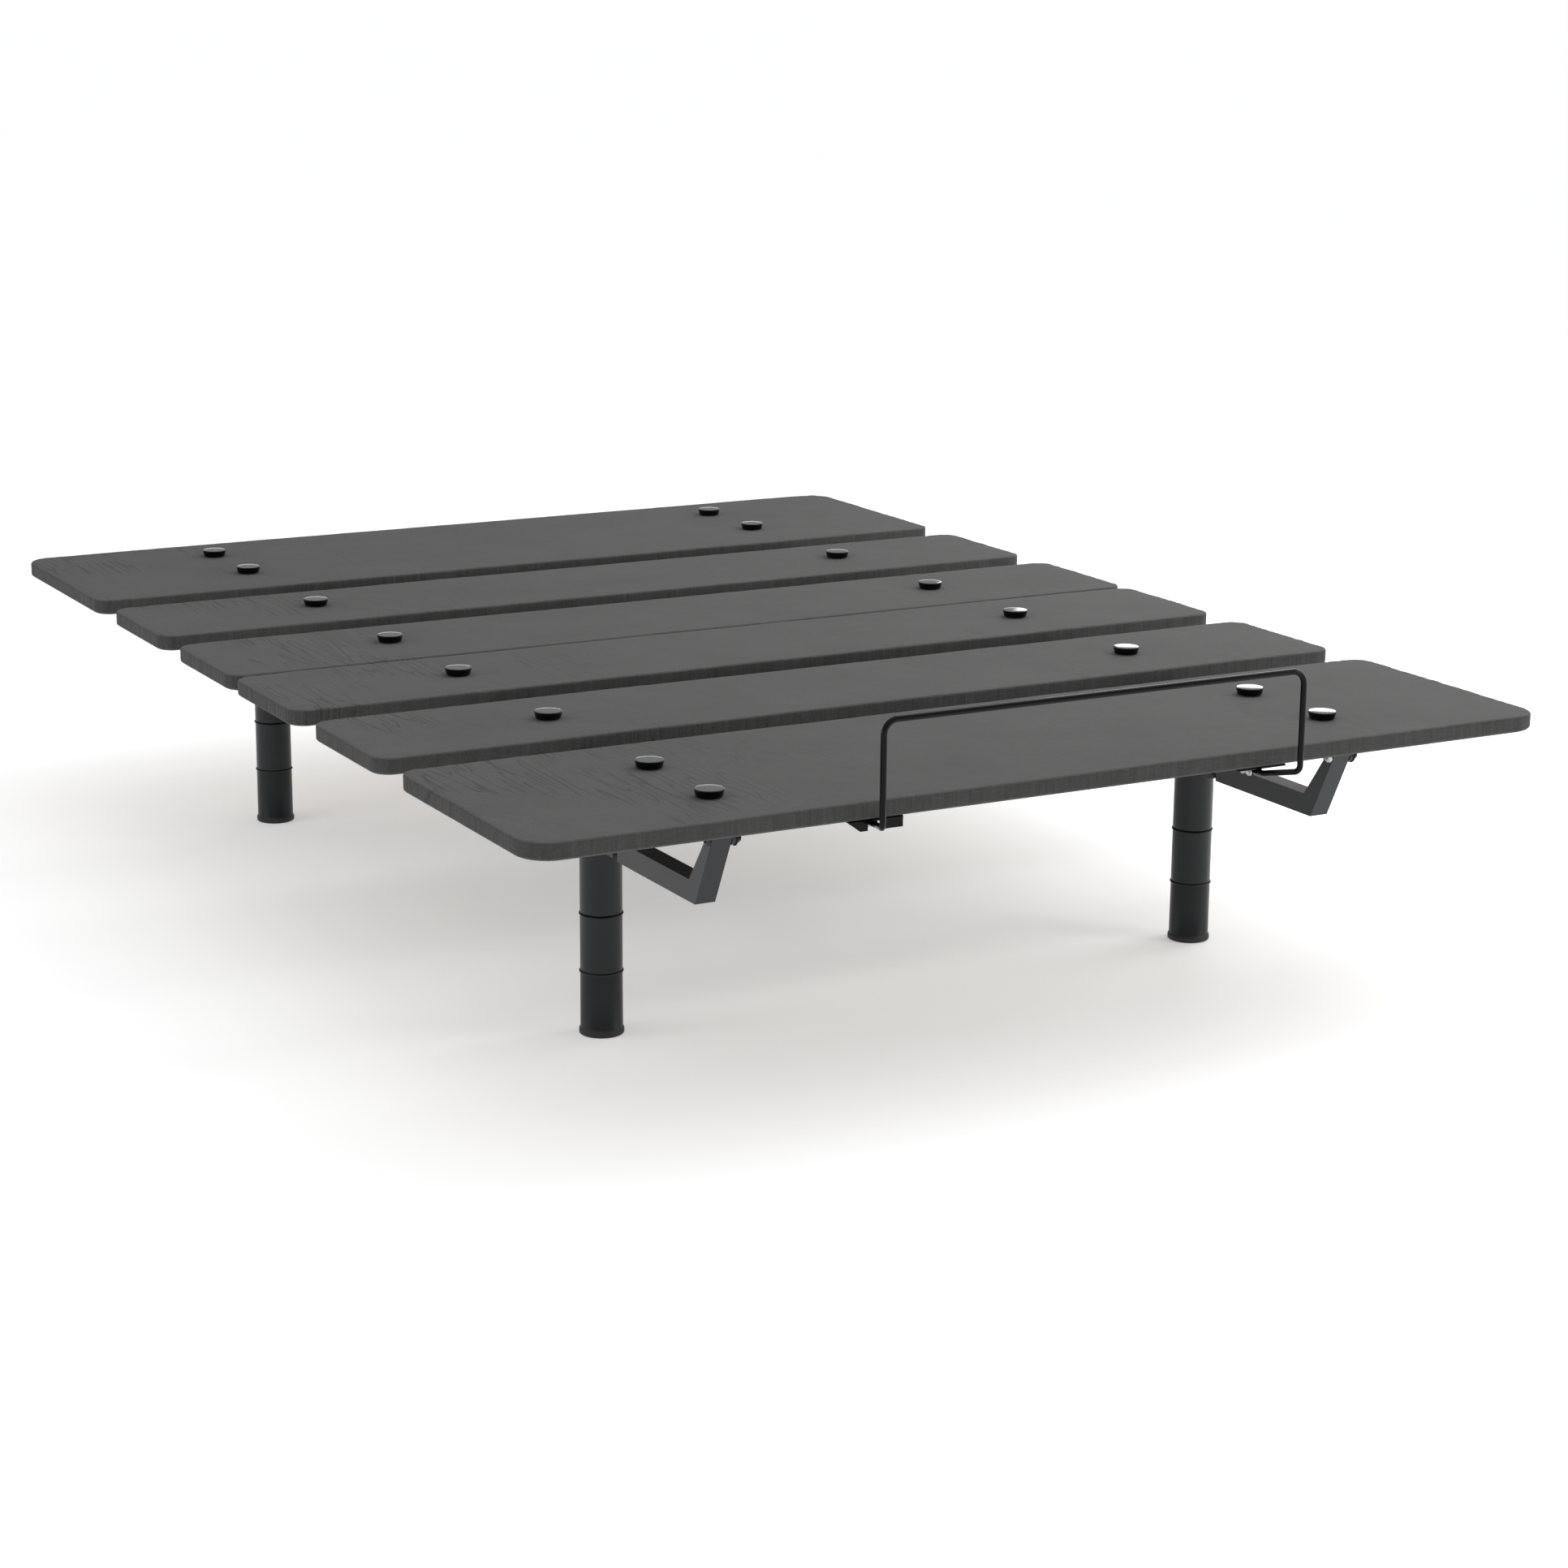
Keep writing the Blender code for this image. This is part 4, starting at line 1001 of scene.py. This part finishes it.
def add_link_fasteners(materials):
    """Bolts through the swing links: a low pivot on the rail, and the pin under the foot frame."""
    for side, word in SIDES:
        _, y, z = JOINTS[f"link_{word}_swing"]["pos_m"]
        middle = side * RAIL_X
        for way, label in ((-1, "a"), (1, "b")):
            add_button_head(f"pivot_bolt_{word}_{label}", (middle + way * RAIL_HALF, y, z), (way, 0, 0),
                            8 * MM, 4 * MM, "base", materials["dark_steel"])
        metal, slot = ("steel", "bare_steel") if side > 0 else ("frame", "frame_coat")
        add_button_head(f"link_bolt_{word}", (middle - LINK_HALF, LINK_PIN[0], LINK_PIN[1]), (-1, 0, 0),
                        7.5 * MM, 4.5 * MM, f"link_{word}", materials[metal])
        add_bolt(f"link_nut_{word}", (middle + LUG_OUTSIDE, LINK_PIN[0], LINK_PIN[1]), (1, 0, 0),
                 7.5 * MM, 6.5 * MM, "foot_section", materials["dark_steel"])


# ---------------- plugs, welds and motor fittings

def add_plug(name, low, high, body, materials):
    """A moulded plug pressed into an open tube end, with a shallow pip in the middle."""
    shape = Shape()
    shape.block(low, high, 0.9 * MM)
    sizes = [b - a for a, b in zip(low, high)]
    axis = sizes.index(min(sizes))
    way = [0, 0, 0]
    way[axis] = 1 if (low[axis] + high[axis]) > 0 else -1
    middle = [(a + b) / 2 for a, b in zip(low, high)]
    middle[axis] = high[axis] if way[axis] > 0 else low[axis]
    pip = [(0.3 * MM, -0.3 * MM), (4 * MM, -0.3 * MM), (3.2 * MM, 0.5 * MM), (0.3 * MM, 0.7 * MM)]
    shape.lathe(pip, middle, way, 24)
    shape.make(name, [materials["glide"]], body)


def add_plugs(materials):
    """Plugs in the rails' head ends, the back frame's ends and the foot frame's last cross tube."""
    inset, proud = PLUG_INSET, PLUG_PROUD
    for side, word in SIDES:
        low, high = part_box(f"side_rail_{word}")
        add_plug(f"rail_plug_{word}", (low.x + inset, high.y - inset, low.z + inset),
                 (high.x - inset, high.y + proud, high.z - inset), "base", materials)
        low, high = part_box("back_frame")
        middle = side * FRAME_X
        add_plug(f"back_plug_{word}",
                 (middle - HALF_TUBE + inset, high.y - inset, high.z - 2 * HALF_TUBE + inset),
                 (middle + HALF_TUBE - inset, high.y + proud, high.z - inset), "back_section", materials)
        low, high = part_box("foot_frame")
        edge = low.x if side < 0 else high.x
        y = FOOT_ROW * MM
        ends = sorted((edge - side * inset, edge + side * proud))
        add_plug(f"foot_plug_{word}", (ends[0], y - HALF_TUBE + inset, high.z - 2 * HALF_TUBE + inset),
                 (ends[1], y + HALF_TUBE - inset, high.z - inset), "foot_section", materials)


def weld(shape, start, stop):
    """A rippled weld bead between two points."""
    start, stop = Vector(start), Vector(stop)
    along = (stop - start).normalized()
    across = along.orthogonal().normalized()
    other = along.cross(across)
    count = max(4, round((stop - start).length / WELD_STEP))
    rings = []
    for i in range(count + 1):
        share = i / count
        taper = min(1.0, 0.35 + 5 * share, 0.35 + 5 * (1 - share))
        size = WELD_RADIUS * (0.86 + 0.14 * math.cos(i * math.pi)) * taper
        centre = start.lerp(stop, share)
        rings.append([
            centre + (across * math.cos(a) + other * math.sin(a)) * size
            for a in (2 * math.pi * k / 10 for k in range(10))
        ])
    shape.rings(rings)


def add_welds(materials):
    """Beads where each frame's cross tubes meet its side tubes."""
    for node, body, rows in FRAME_ROWS:
        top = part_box(node)[1].z
        bottom = top - 2 * HALF_TUBE
        shape = Shape()
        for side in (-1, 1):
            x = side * (FRAME_X - HALF_TUBE)
            for row in rows:
                near, far = row * MM - HALF_TUBE, row * MM + HALF_TUBE
                weld(shape, (x, near, bottom + 0.3 * MM), (x, far, bottom + 0.3 * MM))
                for y in (near, far):
                    weld(shape, (x, y, bottom + 1 * MM), (x, y, top - 3 * MM))
        shape.make(f"welds_{node}", [materials["frame"]], body, 60)


def add_motor_fittings(materials):
    """Rod seals, the tail pins in the crossbars' lugs, and clips on the pins that ride in the levers."""
    for label, way, joint_body in (("head", 1, "head_rod"), ("foot", -1, "foot_rod")):
        low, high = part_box(f"{label}_motor")
        rod_low, rod_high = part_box(f"{label}_motor_rod")
        x = (rod_low.x + rod_high.x) / 2
        z = (rod_low.z + rod_high.z) / 2
        front, tail = (high.y, low.y) if way > 0 else (low.y, high.y)
        seal = Shape()
        seal.lathe([(10.4 * MM, -1 * MM), (16 * MM, -1 * MM), (16 * MM, 2.5 * MM), (14 * MM, 5 * MM),
                    (11.4 * MM, 5.4 * MM), (10.4 * MM, 4.6 * MM)], (x, front, z), (0, way, 0), 48)
        seal.make(f"rod_seal_{label}", [materials["glide"]], "base")
        for side, word in SIDES:
            lug = (x + side * MOTOR_LUG, tail + way * 11 * MM, z)
            add_button_head(f"tail_pin_{label}_{word}", lug, (side, 0, 0), 7 * MM, 3.5 * MM,
                            "base", materials["dark_steel"])
            clip = Shape()
            pin = rod_high.y - FORK_HALF if way > 0 else rod_low.y + FORK_HALF
            disc = [(0.5 * MM, -0.2 * MM), (7.4 * MM, -0.2 * MM), (7.4 * MM, 1.4 * MM), (0.5 * MM, 1.4 * MM)]
            clip.lathe(fillet(disc, 0.4 * MM, 2), (x + side * FORK_HALF, pin, z), (side, 0, 0), 36)
            clip.make(f"pin_clip_{label}_{word}", [materials["dark_steel"]], joint_body)


def add_control_box_fittings(materials):
    """A screwed lid under the control box, and the pins in its mains inlet."""
    low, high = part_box("control_box")
    lid = Shape()
    margin, proud, inlet = 7 * MM, 1.6 * MM, low.z + 22 * MM
    lid.block((low.x + margin, low.y + margin, low.z - proud),
              (high.x - margin, high.y - margin, low.z + 1 * MM), 0.8 * MM)
    lid.make("control_box_lid", [materials["housing"]], "base")
    for i, x in enumerate((low.x + 16 * MM, high.x - 16 * MM)):
        for j, y in enumerate((low.y + 16 * MM, high.y - 16 * MM)):
            add_button_head(f"lid_screw_{i}{j}", (x, y, low.z - proud), (0, 0, -1), 3.6 * MM, 1.8 * MM,
                            "base", materials["steel"])
    pins = Shape()
    for offset in (-6.5, 0.0, 6.5):
        y = (low.y + high.y) / 2 + offset * MM
        pins.block((low.x + 4 * MM, y - 1.1 * MM, inlet - 2.5 * MM),
                   (low.x + 19 * MM, y + 1.1 * MM, inlet + 2.5 * MM), 0.3 * MM)
    pins.make("inlet_pins", [materials["steel"]], "base")


def add_leg_bolts(materials):
    """The bolt through the rail over each leg."""
    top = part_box("side_rail_right")[1].z
    for end in ("foot", "head"):
        for side in ("left", "right"):
            low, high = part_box(f"leg_{end}_{side}_upper")
            centre = (low + high) / 2
            add_bolt(f"leg_bolt_{end}_{side}", (centre.x, centre.y, top), (0, 0, 1), 8 * MM, 5.5 * MM, "base",
                     materials["dark_steel"])


# ---------------- carried-over CAD parts

CAD_LOOKS = {
    "board": [f"deck_board_{name}" for name, _ in PANELS],
    "frame": [
        "seat_frame", "back_frame", "thigh_frame", "foot_frame", "side_rail_left", "side_rail_right",
        "crossbar_foot", "crossbar_head", "lift_link_left", "lift_link_right", "back_lever", "thigh_lever",
    ],
    "retainer": ["retainer_bracket_left", "retainer_bracket_right"],
    "housing": ["head_motor", "foot_motor", "control_box"],
    "steel": ["head_motor_rod", "foot_motor_rod"],
}
BEVELS = {"board": 0.6 * MM, "frame": 1.0 * MM, "retainer": 0.5 * MM, "housing": 1.6 * MM, "steel": 0.5 * MM}


def dress_cad(materials):
    """Procedural materials and softened edges for the CAD parts that stay in sight."""
    for look, names in CAD_LOOKS.items():
        for name in names:
            node = NODES[name]
            node.data.materials.clear()
            node.data.materials.append(materials[look])
            node.data.polygons.foreach_set("use_smooth", [True] * len(node.data.polygons))
            merge = node.modifiers.new("weld", "WELD")
            merge.merge_threshold = 0.005 * MM
            bevel = node.modifiers.new("bevel", "BEVEL")
            bevel.width = BEVELS[look]
            bevel.segments = 2
            bevel.limit_method = "ANGLE"
            bevel.angle_limit = math.radians(32)
            node.modifiers.new("normals", "WEIGHTED_NORMAL")


add_camera()
add_world()
add_lights()
add_floor()
MATERIALS = make_materials()
for build in (dress_cad, add_covers, add_staples, add_caps, add_legs, add_retainer, add_hinge_fasteners,
              add_link_fasteners, add_plugs, add_welds, add_motor_fittings, add_control_box_fittings,
              add_leg_bolts):
    build(MATERIALS)
